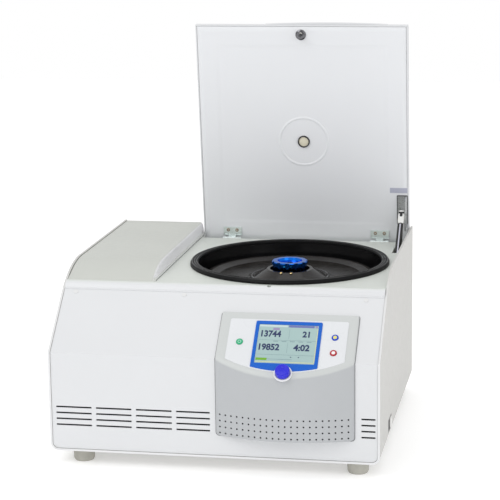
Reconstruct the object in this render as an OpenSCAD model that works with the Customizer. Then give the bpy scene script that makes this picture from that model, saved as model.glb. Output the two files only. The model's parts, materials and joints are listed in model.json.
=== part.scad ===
// Refrigerated bench centrifuge: lid open, fixed-angle rotor in the chamber, control panel on the front.
// Millimetres. X runs across the width, Y from the front to the back, Z up from the bench.
// The origin is the centre of the footprint at bench level.

/* [Case] */
// Width over the side panels
case_w = 630; // [600:1:660]
// Depth from the front panel to the back edge
case_d = 608; // [596:1:640]
// Height of the side panels' flat top above the bench
case_h = 358; // [354:1:364]
// Height of the crease where the front panel folds back
crease_h = 219; // [215:1:223]
// Slope of the fascia from the horizontal, degrees
fascia_tilt = 41.5; // [40.5:0.5:42]
// Height of the feet
foot_h = 27; // [22:1:30]
// Thickness of the wrap sheet
shell_t = 4; // [3:0.5:5]
// Thickness of the panels, the deck skin and the cover
sheet_t = 3; // [2:0.5:3]

/* [Lid] */
// Width of the lid
lid_w = 443; // [440:1:445]
// Length of the lid, from the hinge axis to its front edge
lid_l = 465; // [460:1:470]
// Thickness of the lid
lid_t = 20; // [18:1:21]
// Forward lean of the open lid from the vertical, degrees
lid_lean = 7; // [5:0.5:9]

/* [Chamber] */
// Inner radius of the chamber bowl
bowl_r = 185; // [182:1:186]
// Inner depth of the chamber bowl
bowl_h = 152; // [148:1:156]
// Radius of the rotor's lid
rotor_r = 168; // [160:1:170]

/* [Control panel] */
// Width of the control panel
panel_w = 261; // [255:1:265]
// How far the middle of the panel bulges past the front
panel_bulge = 29; // [25:1:32]
// Radius of the control knob
knob_r = 13.5; // [12:0.5:14]

/* [Hidden] */
$fn = 64;
bore_fn = 24;
slack = 0.5;                              // gap between panels
fit = 0.05;                               // running fit, radial
knob_rise = 12;                           // height of the control knob over its field
knob_edge = 1.5;                          // chamfer round the knob's face
panel_proud = 3;                          // face of the panel over the fascia
keypad_t = 0.8;
knob_x = 139;                             // knob centre across
knob_s = -29;                             // knob centre down the slope from the crease
knob_top = panel_proud + keypad_t + 0.4 + knob_rise;
// The rim of the tilted knob is the foremost point.
front_reach = (knob_r - knob_s) * cos(fascia_tilt) + (knob_top - knob_edge) * sin(fascia_tilt);
front_y = (front_reach - case_d) / 2;     // Y of the front plane
panel_gap = 1.5;                          // inset of the front and rear panels
inner_x = case_w / 2 - shell_t;           // inner face of the side panels
fascia_d = 114;                           // depth at which the fascia meets the deck
deck_z = case_h - 27;
deck_t = 4;
deck_back_d = 565;
ledge_z = deck_z - 14;                    // hinge ledge behind the deck
cover_x = -138;                           // right wall of the compressor cover
side_arc_r = 210;
corner_r = 15;                            // rounding of the case's lower edges
rear_d = case_d - panel_gap;

bowl_x = 94;
bowl_d = 337;
bowl_t = 1.5;
bowl_floor_z = deck_z - bowl_h - 1;
gasket_w = 15;
gasket_top = deck_z + 8;
rotor_edge = deck_z - 20;                 // rim of the rotor's lid
shaft_top = deck_z - 14;

hinge_d = 573;
hinge_z = deck_z - 4;
lid_x = 88;                               // middle of the lid
lid_face = 13;                            // lid face behind the hinge axis
lid_foot = -6;                            // lid bottom edge, along the lid
hinge_xs = [-70.5, 247.7];
hinge_w = 39;
knuckle_r = 5.5;
knuckle_w = 15.4;
leaf_top = 24;                            // top of the hinge leaves, along the lid
bolt_x = 88.4;
bolt_s = 445;
bolt_r = 3;                               // striker pin
bolt_hole_r = 4.2;
port_s = 216.5;
port_x = 89;

spring_x = 296;
spring_top = [-5, 66];                    // upper pivot in the lid's frame: off the axis, along the lid
spring_low = [339.7, deck_z - 137.7];     // lower pivot: depth, height
spring_barrel_l = 150;
spring_rod_l = 175;

panel_x = 137.7;
panel_z = foot_h + 44;
panel_s_top = 106;
panel_edge = 2;                           // bulge left at the panel's sides
panel_arc = ((panel_w / 2) * (panel_w / 2) + (panel_bulge - panel_edge) * (panel_bulge - panel_edge))
    / (2 * (panel_bulge - panel_edge));
button_r = 6.4;
button_gap = 0.3;
start_pos = [49.4, 37.4];                 // button centres: across, up the slope
open_pos = [227.2, 53.4];
stop_pos = [227.4, 19.3];
screen_low = [82.6, -8];                  // screen corners: across, up the slope
screen_high = [194.6, 78];

switch_d = 169;
switch_z = foot_h + 29.5;
switch_size = [51.6, 24.6];
fan_x = -210;
fan_z = foot_h + 134;
fan_r = 78;

vent_h = 3.2;                             // air slots of the front panel
vent_rows = 4;
vent_top = foot_h + 86.4;
vent_pitch = 11.65;
vent_left = [[-302, 69], [-224.3, 69], [-146.6, 69], [-68.9, 64.5]];
vent_right = [[280.6, 26]];
hole_top = foot_h + 86.7;                 // perforations of the control panel
hole_pitch = [11.5, 11.8];
hole_left = 16;
hole_r = 1.4;
hole_columns = 22;
plug_xs = [-286.9, -72.8, 276.3];         // screw plugs near the top of the fascia
plug_s = 143.6;
inlet_x = 200;
inlet_z = foot_h + 42;
inlet_size = [28, 24];
system_x = -205;                          // compressor under the raised cover
system_d = 250;
pipe_x = -165;
pipe_r = 4;
pipe_top = foot_h + 258;

// ---- outline helpers -------------------------------------------------------

// Depth and height of the crease, moved inward by g.
function crease_in(g) = [g, crease_h - g * (1 - sin(fascia_tilt)) / cos(fascia_tilt)];

// Height of the fascia plane at depth d, moved inward by g.
function fascia_z(d, g) = crease_h + d * tan(fascia_tilt) - g / cos(fascia_tilt);

// Points of an arc about c with radius r from angle a to angle b.
function arc(c, r, a, b, n = 8) =
    [for (i = [0:n]) c + r * [cos(a + (b - a) * i / n), sin(a + (b - a) * i / n)]];

side_arc_c = [(case_h - crease_h - side_arc_r * (1 - cos(fascia_tilt))) / tan(fascia_tilt)
    + side_arc_r * sin(fascia_tilt), case_h - side_arc_r];

// The side outline in depth and height: front, crease, slope, shoulder arc and flat top.
function side_outline(low, g = 0) = concat([[g, low], [case_d - g, low], [case_d - g, case_h - g]],
    arc(side_arc_c, side_arc_r - g, 90, 90 + fascia_tilt, 14), [crease_in(g)]);

// Extrudes an outline drawn in depth and height along X, from x0 to x1.
module along_x(x0, x1) {
    translate([x0, front_y, 0]) rotate([90, 0, 90]) linear_extrude(x1 - x0) children();
}

// Extrudes an outline drawn in X and height along the depth, from d0 to d1.
module along_depth(d0, d1) {
    translate([0, front_y + d1, 0]) rotate([90, 0, 0]) linear_extrude(d1 - d0) children();
}

// Places children at a depth behind the front plane.
module at_depth(x, d, z) { translate([x, front_y + d, z]) children(); }

// Box given by its corners in X, depth and Z.
module box(a, b) { translate([a.x, front_y + a.y, a.z]) cube(b - a); }

// Frame of the sloped fascia: X across, Y up the slope from the crease, Z outward.
module on_slope() { at_depth(0, 0, crease_h) rotate([fascia_tilt, 0, 0]) children(); }

// Frame of the lid: origin on the hinge axis, Y to the outside of the lid, Z along it.
module on_lid() { at_depth(0, hinge_d, hinge_z) rotate([lid_lean, 0, 0]) children(); }

// Everything behind the front panel's outer face.
module behind_front() {
    along_x(-case_w, case_w) polygon([[panel_gap, -10], [case_d, -10], [case_d, fascia_z(case_d, panel_gap)],
        crease_in(panel_gap)]);
}

// Square with four rounded corners, centred.
module soft_square(w, h, r) {
    polygon(concat(arc([w / 2 - r, h / 2 - r], r, 0, 90), arc([r - w / 2, h / 2 - r], r, 90, 180),
        arc([r - w / 2, r - h / 2], r, 180, 270), arc([w / 2 - r, r - h / 2], r, 270, 360)));
}

// Tube along Z.
module tube(r_out, r_in, h) {
    difference() {
        cylinder(r = r_out, h = h);
        translate([0, 0, -1]) cylinder(r = r_in, h = h + 2);
    }
}

// ---- case ------------------------------------------------------------------

// Side sheet above the rounded lower edge.
module side_panel(x0) {
    along_x(x0, x0 + shell_t) polygon(side_outline(foot_h + corner_r));
}

module side_panel_left() { color("gainsboro") side_panel(-case_w / 2); }

module side_panel_right() {
    color("gainsboro") difference() {
        side_panel(inner_x);
        at_depth(inner_x - 1, switch_d, switch_z) rotate([90, 0, 90]) linear_extrude(shell_t + 2)
            square(switch_size + [0.4, 0.4], center = true);
    }
}

// Bottom sheet with its two rounded lower edges.
module base_tray() {
    color("gainsboro") difference() {
        along_depth(0, case_d) intersection() {
            difference() {
                case_front(0);
                case_front(shell_t);
            }
            translate([-case_w / 2, foot_h]) square([case_w, corner_r]);
        }
        vent_row(-220, 5);
    }
}

// Front outline of the case, moved inward by g.
module case_front(g) {
    translate([0, foot_h + case_h / 2]) soft_square(case_w - 2 * g, case_h - 2 * g, corner_r - g);
}

// Air slots through the bottom sheet.
module vent_row(x0, count) {
    for (i = [0:count - 1]) box([x0 + 16 * i, 380, foot_h - 1], [x0 + 6 + 16 * i, 480, foot_h + shell_t + 1]);
}

module front_panel() {
    outer = crease_in(panel_gap);
    inner = crease_in(panel_gap + sheet_t);
    low = foot_h + shell_t + slack;
    color("whitesmoke") difference() {
        intersection() {
            along_x(-inner_x + slack, inner_x - slack) polygon([[panel_gap, low], [panel_gap + sheet_t, low],
                inner, [fascia_d, fascia_z(fascia_d, panel_gap + sheet_t)],
                [fascia_d, fascia_z(fascia_d, panel_gap)], outer]);
            along_depth(-1, case_d) case_front(shell_t + slack);
        }
        for (vent = concat(vent_left, vent_right), row = [0:vent_rows - 1])
            vent_slot(vent[0], vent[1], vent_top - vent_pitch * row);
        for (x = plug_xs) on_slope() translate([x, plug_s, -20]) cylinder(r = 3, h = 40, $fn = bore_fn);
    }
}

module vent_slot(x, w, z) { box([x, -1, z - vent_h / 2], [x + w, 8, z + vent_h / 2]); }

module screw_plugs() {
    stem = 2;
    color("gainsboro") for (x = plug_xs)
        on_slope() translate([x, plug_s, -panel_gap - stem]) {
            cylinder(r = 2.95, h = stem, $fn = bore_fn);
            translate([0, 0, stem]) cylinder(r = 4.6, h = 0.8, $fn = bore_fn);
        }
}

module deck() {
    left_profile = [[fascia_d + slack, deck_z - 15], [fascia_d + slack, deck_z - 10.5], [119, deck_z - 4],
        [128, deck_z], [rear_d, deck_z], [rear_d, deck_z - deck_t], [130, deck_z - deck_t],
        [122, deck_z - 8], [118.5, deck_z - 15]];
    right_profile = [[fascia_d + slack, deck_z - 15], [fascia_d + slack, deck_z - 10.5], [119, deck_z - 4],
        [128, deck_z], [deck_back_d, deck_z], [deck_back_d, ledge_z], [rear_d, ledge_z],
        [rear_d, ledge_z - deck_t], [deck_back_d - 4, ledge_z - deck_t], [deck_back_d - 4, deck_z - deck_t],
        [130, deck_z - deck_t], [122, deck_z - 8], [118.5, deck_z - 15]];
    color("lightgray") difference() {
        union() {
            along_x(-inner_x + slack, cover_x + 1) polygon(left_profile);
            along_x(cover_x, inner_x - slack) polygon(right_profile);
            box([cover_x - 3, deck_back_d, ledge_z - deck_t], [cover_x + 1, rear_d, deck_z]);
        }
        at_depth(bowl_x, bowl_d, deck_z - 20) cylinder(r = bowl_r + bowl_t + 0.6, h = 40, $fn = 96);
        box([spring_x - 9, 456, deck_z - 10], [spring_x + 12.5, 546, deck_z + 1]);
        at_depth(bolt_x, hinge_d - bolt_s, deck_z - 20) cylinder(r = bolt_hole_r, h = 30, $fn = bore_fn);
    }
}

module compressor_cover() {
    x0 = -inner_x + slack;
    front = 131;
    color("whitesmoke") difference() {
        along_x(x0, cover_x) cover_outline(front, 1);
        along_x(x0 + sheet_t, cover_x - sheet_t) cover_outline(front + sheet_t, 1 + sheet_t);
    }
}

// Outline of the raised cover from depth d0 to the back, under the side outline moved in by g.
module cover_outline(d0, g) {
    intersection() {
        polygon(side_outline(deck_z, g));
        translate([d0, deck_z]) square([rear_d - (g - 1) - d0, 60]);
    }
}

module rear_panel() {
    low = foot_h + shell_t + slack;
    color("gainsboro") difference() {
        intersection() {
            union() {
                box([-inner_x + slack, rear_d - sheet_t, low], [inner_x - slack, rear_d, ledge_z - deck_t]);
                box([-inner_x + slack, rear_d - sheet_t, low], [cover_x - 3, rear_d, deck_z - deck_t]);
            }
            along_depth(-1, case_d) case_front(shell_t + slack);
        }
        at_depth(fan_x, rear_d + 1, fan_z) rotate([90, 0, 0]) cylinder(r = fan_r, h = 8, $fn = 96);
        for (row = [0:7]) rear_slot(foot_h + 94 + 14 * row);
        at_depth(inlet_x, rear_d + 1, inlet_z) rotate([90, 0, 0]) linear_extrude(8)
            square(inlet_size, center = true);
    }
}

module rear_slot(z) { box([-20, rear_d - 5, z], [250, rear_d + 1, z + 4]); }

// Round rubber foot, a little wider at the top.
module foot(x, d) {
    color("dimgray") at_depth(x, d, 0) {
        cylinder(r1 = 18, r2 = 20, h = 4);
        translate([0, 0, 4]) cylinder(r1 = 20, r2 = 21, h = foot_h - 7);
        translate([0, 0, foot_h - 3]) cylinder(r = 21, h = 3);
    }
}

module foot_front_left() { foot(-260, 38); }
module foot_front_right() { foot(270, 38); }
module foot_back_left() { foot(-260, case_d - 50); }
module foot_back_right() { foot(270, case_d - 50); }

// ---- chamber and drive -----------------------------------------------------

module chamber_bowl() {
    top = deck_z + bowl_t;
    color("silver") at_depth(bowl_x, bowl_d, 0) rotate_extrude($fn = 128) polygon([
        [28, bowl_floor_z - bowl_t], [bowl_r - 30, bowl_floor_z - bowl_t], [bowl_r - 8, bowl_floor_z + 8],
        [bowl_r + bowl_t, bowl_floor_z + 30], [bowl_r + bowl_t, deck_z], [bowl_r + 11, deck_z],
        [bowl_r + 11, top], [bowl_r, top], [bowl_r, bowl_floor_z + 30.4], [bowl_r - 9, bowl_floor_z + 9],
        [bowl_r - 30.5, bowl_floor_z], [28, bowl_floor_z]]);
}

module chamber_insulation() {
    gap = 0.2;
    r_in = bowl_r + bowl_t + gap;
    color("beige") at_depth(bowl_x, bowl_d, 0) rotate_extrude($fn = 96) polygon([
        [32, bowl_floor_z - 10], [192, bowl_floor_z - 10], [192, deck_z - deck_t], [r_in, deck_z - deck_t],
        [r_in, bowl_floor_z + 29.9], [bowl_r - 7.6, bowl_floor_z + 7.5],
        [bowl_r - 29.8, bowl_floor_z - bowl_t - gap], [32, bowl_floor_z - bowl_t - gap]]);
}

module chamber_gasket() {
    r_out = bowl_r + gasket_w;
    flange = deck_z + bowl_t;
    color("black") at_depth(bowl_x, bowl_d, 0) rotate_extrude($fn = 128) difference() {
        polygon([[r_out - 3.8, deck_z], [r_out, deck_z], [r_out, gasket_top - 4], [r_out - 2.5, gasket_top],
            [bowl_r + 2.5, gasket_top], [bowl_r, gasket_top - 2.5], [bowl_r, flange], [r_out - 3.8, flange]]);
        for (r = [4.5, 7.5, 10.5]) translate([bowl_r + r, gasket_top]) circle(r = 0.9, $fn = 16);
    }
}

module motor_plate() {
    color("silver") difference() {
        box([bowl_x - 105, bowl_d - 105, foot_h + shell_t],
            [bowl_x + 105, bowl_d + 105, foot_h + shell_t + 6]);
        at_depth(bowl_x, bowl_d, foot_h) cylinder(r = 50, h = 20);
    }
}

module around_motor() {
    for (a = [30, 150, 270]) at_depth(bowl_x, bowl_d, 0) rotate([0, 0, a]) translate([78, 0, 0]) children();
}

module motor_mounts() {
    low = foot_h + shell_t + 6;
    color("black") around_motor() translate([0, 0, low]) {
        cylinder(r = 13, h = 5);
        translate([0, 0, 5]) cylinder(r = 10, h = 5);
        translate([0, 0, 10]) cylinder(r = 13, h = 5);
    }
}

module motor() {
    low = foot_h + shell_t + 21;
    top = bowl_floor_z + 6;
    color("darkgray") difference() {
        union() {
            at_depth(bowl_x, bowl_d, low) cylinder(r = 94, h = 6);
            at_depth(bowl_x, bowl_d, low + 6) cylinder(r = 62, h = bowl_floor_z - 24 - low);
            at_depth(bowl_x, bowl_d, bowl_floor_z - 18) cylinder(r = 24, h = top - bowl_floor_z + 18);
            for (a = [0:30:330]) at_depth(bowl_x, bowl_d, low + 6) rotate([0, 0, a]) translate([58, -1.5, 0])
                cube([9, 3, 70]);
        }
        at_depth(bowl_x, bowl_d, low + 30) cylinder(r = 10 + fit, h = top);
    }
}

module drive_shaft() {
    low = foot_h + shell_t + 55;
    color("silver") at_depth(bowl_x, bowl_d, 0) {
        translate([0, 0, low]) cylinder(r = 10, h = shaft_top - low);
        translate([0, 0, bowl_floor_z + 8]) cylinder(r = 20, h = 8);
    }
}

module rotor_body() {
    low = bowl_floor_z + 16;
    top = rotor_edge - 12;
    r = rotor_r - 5;
    color("dimgray") at_depth(bowl_x, bowl_d, 0) difference() {
        rotate_extrude($fn = 96) polygon([[10, low], [96, low], [118, low + 8], [r - 2, low + 62],
            [r, low + 74], [r, top - 8], [r - 2, top], [10, top]]);
        translate([0, 0, low - 1]) cylinder(r = 10 + fit, h = bowl_h);
    }
}

module rotor_lid() {
    low = rotor_edge - 12;
    dish = rotor_edge - 9;
    cone = rotor_edge + 9;
    color("dimgray") at_depth(bowl_x, bowl_d, 0) rotate_extrude($fn = 128) polygon([
        [10 + fit, low], [rotor_r - 3, low], [rotor_r, low + 3], [rotor_r, rotor_edge - 2],
        [rotor_r - 2, rotor_edge],
        [rotor_r - 8, rotor_edge], [rotor_r - 24, dish + 4], [86, dish], [80, dish],
        [79, dish + 3.5], [75, dish + 3.5], [73, dish + 1.5], [46, cone], [40, cone], [39, cone - 12],
        [10 + fit, cone - 12]]);
}

module rotor_screws() {
    color("goldenrod") at_depth(bowl_x, bowl_d, 0) for (x = [-10, 10])
        translate([x, -42.5, rotor_edge + 9]) cylinder(r = 2.6, h = 1.6, $fn = bore_fn);
}

// Scalloped clamping knob with a hexagonal recess.
module rotor_knob() {
    low = rotor_edge - 2.9;
    top = deck_z + 5;
    flutes = 12;
    color("royalblue") at_depth(bowl_x, bowl_d, 0) difference() {
        rotate_extrude($fn = 96) polygon([[0, shaft_top + 0.1], [10.1, shaft_top + 0.1], [10.1, low],
            [28, low],
            [30, low + 6], [35, top - 8], [36, top - 5], [36, top - 1.5], [34.5, top], [25, top],
            [23.5, top - 5], [0, top - 5]]);
        for (i = [0:flutes - 1]) rotate([0, 0, i * 360 / flutes]) translate([39.5, 0, low - 1])
            cylinder(r = 6, h = 40, $fn = bore_fn);
        translate([0, 0, top - 12]) cylinder(r = 7, h = 20, $fn = 6);
    }
}

// ---- lid -------------------------------------------------------------------

// Block inside the lid, g from its edges and lip more from its front edge.
module lid_box(g, y0, y1, lip = 0) {
    translate([lid_x - lid_w / 2 + g, y0, lid_foot + g])
        cube([lid_w - 2 * g, y1 - y0, lid_l - lid_foot - 2 * g - lip]);
}

module lid_port(r) {
    translate([port_x, 0, port_s]) rotate([-90, 0, 0]) cylinder(r = r, h = 60, $fn = 48);
}

module lid_plate() {
    color("gainsboro") on_lid() difference() {
        union() {
            lid_box(2.9, lid_face, lid_face + 1.5, 4);
            translate([port_x, lid_face - 1.2, port_s]) rotate([-90, 0, 0]) tube(52.5, 49.5, 1.3);
        }
        lid_port(12.7);
    }
}

module lid_foam() {
    color("beige") on_lid() difference() {
        lid_box(6, lid_face + 1.5, lid_face + lid_t - 4);
        lid_port(13);
    }
}

module lid_cover() {
    wall = 2.5;
    back = lid_face + lid_t;
    nose = 10;
    heel = 6;
    color("whitesmoke") on_lid() difference() {
        translate([lid_x - lid_w / 2, 0, 0]) rotate([90, 0, 90]) linear_extrude(lid_w) polygon(concat(
            [[lid_face, lid_foot], [back - heel, lid_foot]],
            arc([back - heel, lid_foot + heel], heel, 270, 360),
            arc([back - nose, lid_l - nose], nose, 0, 90), [[lid_face, lid_l]]));
        translate([lid_x - lid_w / 2 + wall, 0, 0]) rotate([90, 0, 90]) linear_extrude(lid_w - 2 * wall)
            polygon(concat([[0, lid_foot + wall]], arc([back - heel, lid_foot + heel], heel - wall, 270, 360),
                arc([back - nose, lid_l - nose], nose - wall, 0, 90), [[0, lid_l - wall]]));
        lid_port(12.7);
    }
}

// Arched lip along the lid's front edge, gripped to lift it.
module lid_grip() {
    chord = 255;
    rise = 3;
    r = (chord * chord / 4 + rise * rise) / (2 * rise);
    half = asin(chord / 2 / r);
    color("whitesmoke") on_lid() translate([140, lid_face + lid_t - 4, lid_l]) rotate([90, 0, 0])
        linear_extrude(lid_t - 10) polygon(arc([0, rise - r], r, 90 - half, 90 + half, 24));
}

module port_bezel() {
    color("black") on_lid() translate([port_x, lid_face - 2.2, port_s]) rotate([-90, 0, 0])
        tube(12.5, 10.5, lid_t + 2.2);
}

module port_window() {
    color("ivory") on_lid() translate([port_x, lid_face - 1, port_s]) rotate([-90, 0, 0])
        cylinder(r = 10.45, h = 3, $fn = 48);
}

module label_plate() {
    color("lavender") on_lid() translate([270, lid_face - 0.3, 107.5]) cube([37, 0.3, 11]);
}

// Round striker boss with its tongue.
module lock_bolt() {
    color("dimgray") on_lid() translate([bolt_x, 0, bolt_s]) rotate([90, 0, 0]) {
        translate([0, 0, -lid_face]) cylinder(r = 11, h = 1);
        translate([0, 0, 1 - lid_face]) cylinder(r1 = 11, r2 = 8, h = 1.5);
        translate([0, 0, 2.4 - lid_face]) cylinder(r = 8, h = 4.1);
        translate([0, 0, 6.4 - lid_face]) cylinder(r = 5, h = 2, $fn = 48);
        translate([0, 0, 8 - lid_face]) cylinder(r = bolt_r, h = 22, $fn = 48);
    }
}

module lock_receiver() {
    color("silver") difference() {
        box([bolt_x - 18, 119, deck_z - 34], [bolt_x + 18, 143, deck_z - 15]);
        at_depth(bolt_x, hinge_d - bolt_s, deck_z - 50) cylinder(r = bolt_hole_r, h = 60, $fn = 48);
    }
}

module hinge_base(x) {
    ear_w = (hinge_w - knuckle_w - 0.6) / 2;
    color("silver") at_depth(x, hinge_d, 0) {
        translate([-hinge_w / 2, -knuckle_r, ledge_z])
            cube([hinge_w, 2 * knuckle_r, hinge_z - knuckle_r - 1 - ledge_z]);
        for (side = [-1, 1]) translate([side * (hinge_w - ear_w) / 2, 0, 0]) {
            translate([-ear_w / 2, -knuckle_r, ledge_z]) cube([ear_w, 2 * knuckle_r, hinge_z - ledge_z]);
            translate([-ear_w / 2, 0, hinge_z]) rotate([0, 90, 0]) cylinder(r = knuckle_r, h = ear_w);
        }
        translate([-hinge_w / 2, 0, hinge_z]) rotate([0, 90, 0]) cylinder(r = 2.5, h = hinge_w, $fn = 48);
    }
}

module hinge_leaf(x) {
    color("silver") on_lid() translate([x, 0, 0]) difference() {
        union() {
            translate([-knuckle_w / 2, 0, 0]) rotate([0, 90, 0]) cylinder(r = knuckle_r, h = knuckle_w);
            translate([-knuckle_w / 2, 2, 0]) cube([knuckle_w, lid_face - 2, 6.3]);
            translate([-hinge_w / 2, lid_face - 3, 6.2]) cube([hinge_w, 3, leaf_top - 6.2]);
        }
        translate([-hinge_w, 0, 0]) rotate([0, 90, 0]) cylinder(r = 2.5 + fit, h = 2 * hinge_w, $fn = 48);
    }
}

module hinge_base_left() { hinge_base(hinge_xs[0]); }
module hinge_base_right() { hinge_base(hinge_xs[1]); }
module hinge_leaf_left() { hinge_leaf(hinge_xs[0]); }
module hinge_leaf_right() { hinge_leaf(hinge_xs[1]); }

module hinge_screws() {
    color("silver") on_lid() for (x = hinge_xs, side = [-9.5, 9.5])
        translate([x + side, lid_face - 3, leaf_top - 6.2]) rotate([90, 0, 0])
            cylinder(r = 3.6, h = 1.4, $fn = bore_fn);
}

// ---- gas spring ------------------------------------------------------------

spring_top_open = [hinge_d + spring_top.x * cos(lid_lean) - spring_top.y * sin(lid_lean),
    hinge_z + spring_top.x * sin(lid_lean) + spring_top.y * cos(lid_lean)];
spring_run = spring_top_open - spring_low;
spring_open_l = norm(spring_run);
spring_angle = atan2(spring_run.y, spring_run.x);

// Frame of the gas spring: origin at the lower pivot, Z along the spring.
module on_spring() {
    at_depth(spring_x, spring_low.x, spring_low.y) rotate([spring_angle - 90, 0, 0]) children();
}

// Cylinder along X, centred on the spring's plane.
module cross_pin(r, x0, x1) {
    translate([x0, 0, 0]) rotate([0, 90, 0]) cylinder(r = r, h = x1 - x0, $fn = 48);
}

module spring_anchor() {
    color("silver") at_depth(spring_x, spring_low.x, spring_low.y) {
        cross_pin(13, 8, inner_x - spring_x);
        cross_pin(4, -6.6, 8);
    }
}

module spring_rod() {
    color("silver") on_spring() difference() {
        union() {
            cross_pin(8, -5.5, 5.5);
            cylinder(r = 4, h = spring_rod_l, $fn = 48);
        }
        cross_pin(4 + fit, -20, 20);
    }
}

module spring_barrel() {
    mouth = spring_open_l - spring_barrel_l;
    color("black") on_spring() {
        difference() {
            translate([0, 0, mouth]) cylinder(r = 6.5, h = spring_barrel_l - 9);
            translate([0, 0, mouth - 1]) cylinder(r = 4 + fit, h = spring_barrel_l - 13, $fn = 48);
        }
        translate([0, 0, spring_open_l]) {
            cross_pin(7, -6, 6);
            cross_pin(3, 6, 9.4);
        }
    }
}

// Channel bracket on the lid with a long hole in its ear for the spring's stud.
module spring_bracket() {
    base_z = 41;
    ear_x = spring_x + 7.2;
    color("dimgray") on_lid() {
        translate([spring_x - 10, lid_face - 2, base_z]) cube([20, 2, 60]);
        difference() {
            translate([ear_x, spring_top.x - 11, base_z - 8]) cube([2.5, lid_face + 11 - spring_top.x, 68]);
            translate([ear_x - 1, spring_top.x - 7.5, base_z - 4]) cube([5, 17, 34]);
        }
    }
}

// ---- control panel ---------------------------------------------------------

// Solid outline of the control panel, moved inward by g.
module panel_envelope(g) {
    intersection() {
        at_depth(panel_x, panel_arc - panel_bulge, panel_z + g)
            cylinder(r = panel_arc - g, h = 300, $fn = 256);
        box([panel_x - panel_w / 2 + g, -60, panel_z + g], [panel_x + panel_w / 2 - g, 200, 400]);
        on_slope() translate([-100, -260, -300]) cube([600, 260 + panel_s_top - g, 300 + panel_proud - g]);
    }
}

module button_holes() {
    for (p = [start_pos, open_pos, stop_pos])
        on_slope() translate([p.x, p.y, -12]) cylinder(r = button_r + button_gap, h = 30, $fn = 48);
}

module panel_housing() {
    wall = 3;
    color("silver") difference() {
        panel_envelope(0);
        panel_envelope(wall);
        behind_front();
        button_holes();
        knob_hole(3 + fit);
        for (row = [0:vent_rows - 1], col = [0:hole_columns - 1])
            at_depth(hole_left + hole_pitch.x * col, 3, hole_top - hole_pitch.y * row) rotate([90, 0, 0])
                cylinder(r = hole_r, h = 40, $fn = 16);
    }
}

// Round hole along the knob's axis.
module knob_hole(r) { on_slope() translate([knob_x, knob_s, -20]) cylinder(r = r, h = 40, $fn = 48); }

// Field on the slope with round top corners, its lower edge parallel to the panel's bulge.
module keypad_area(x0, x1, s1, g, z0, t, corner) {
    intersection() {
        on_slope() translate([(x0 + x1) / 2, s1 / 2 - 40, z0]) linear_extrude(t)
            soft_square(x1 - x0, 80 + s1, corner);
        at_depth(panel_x, panel_arc - panel_bulge, 100) cylinder(r = panel_arc - g, h = 250, $fn = 256);
    }
}

module keypad() {
    color("white") difference() {
        keypad_area(26.5, 250, 89.5, 7, panel_proud, keypad_t, 4);
        button_holes();
        knob_hole(3 + fit);
        display_window();
    }
}

// Opening round the screen, g wider than it all round.
module display_window(g = 0.1) {
    size = screen_high - screen_low;
    on_slope() translate([screen_low.x - g, screen_low.y - g, 0]) cube([size.x + 2 * g, size.y + 2 * g, 20]);
}

module display_frame() {
    color("royalblue") difference() {
        keypad_area(76, 201.3, 85.5, 8, panel_proud + keypad_t, 1.2, 3);
        display_window();
        knob_hole(knob_r + 1.2);
    }
}

module display_screen() {
    color("darkseagreen") intersection() {
        display_window(0);
        on_slope() translate([0, -50, panel_proud]) cube([300, 200, 1.3]);
    }
}

module control_knob() {
    color("mediumblue") on_slope() translate([knob_x, knob_s, 0]) {
        translate([0, 0, -5]) cylinder(r = 3, h = 10, $fn = 48);
        translate([0, 0, knob_top - knob_rise]) cylinder(r = knob_r, h = knob_rise - knob_edge);
        translate([0, 0, knob_top - knob_edge]) cylinder(r1 = knob_r, r2 = knob_r - knob_edge, h = knob_edge);
    }
}

module knob_encoder() {
    color("darkgreen") on_slope() translate([knob_x, knob_s, 0]) difference() {
        translate([-6, -5, -7]) cube([12, 12, 7]);
        translate([0, 0, -20]) cylinder(r = 3 + fit, h = 30, $fn = 48);
    }
}

module push_button(p) {
    on_slope() translate([p.x, p.y, 0]) {
        translate([0, 0, 1]) cylinder(r = button_r, h = keypad_t + panel_proud, $fn = 48);
        translate([0, 0, 0.3]) cylinder(r = 4, h = 1, $fn = 48);
    }
}

module button_start() { color("mediumseagreen") push_button(start_pos); }
module button_open() { color("royalblue") push_button(open_pos); }
module button_stop() { color("firebrick") push_button(stop_pos); }

module control_board() {
    color("darkgreen") on_slope() translate([40, 12, -20]) cube([190, 90, 1.6]);
}

// ---- right side and rear fittings ------------------------------------------

module switch_bezel() {
    face = case_w / 2;
    color("dimgray") at_depth(0, switch_d, switch_z) difference() {
        translate([face - 24, -switch_size.x / 2, -switch_size.y / 2]) cube([24, switch_size.x, switch_size.y]);
        translate([face - 14, -20, -9]) cube([20, 40, 18]);
        translate([face - 8, 0, -20]) cylinder(r = 1.5 + fit, h = 40, $fn = bore_fn);
    }
}

module power_rocker() {
    face = case_w / 2;
    color("white") at_depth(face - 8, switch_d, switch_z) {
        translate([0, 0, -11.5]) cylinder(r = 1.5, h = 23, $fn = bore_fn);
        rotate([0, 0, 6]) linear_extrude(17, center = true)
            polygon([[-3, -8], [3, -18], [5.2, -18], [3.6, 0], [5.2, 18], [3, 18], [-3, 8]]);
    }
}

// Inlet socket with three contact pins.
module mains_inlet() {
    rim = 4;
    pins = [[-5, -2], [0, 3], [5, -2]];
    color("black") difference() {
        inlet_block(0.2, 24, 0);
        inlet_block(rim, 18, 1);
    }
    color("silver") for (pin = pins) at_depth(inlet_x + pin.x, rear_d - 3, inlet_z + pin.y) rotate([90, 0, 0])
        cylinder(r = 1, h = 15.1, $fn = bore_fn);
}

// Block g inside the inlet's outline, from a depth in front of the rear face to a distance behind it.
module inlet_block(g, before, behind) {
    at_depth(inlet_x, rear_d + behind, inlet_z) rotate([90, 0, 0]) linear_extrude(before + behind)
        square(inlet_size - [2 * g, 2 * g], center = true);
}

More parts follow.
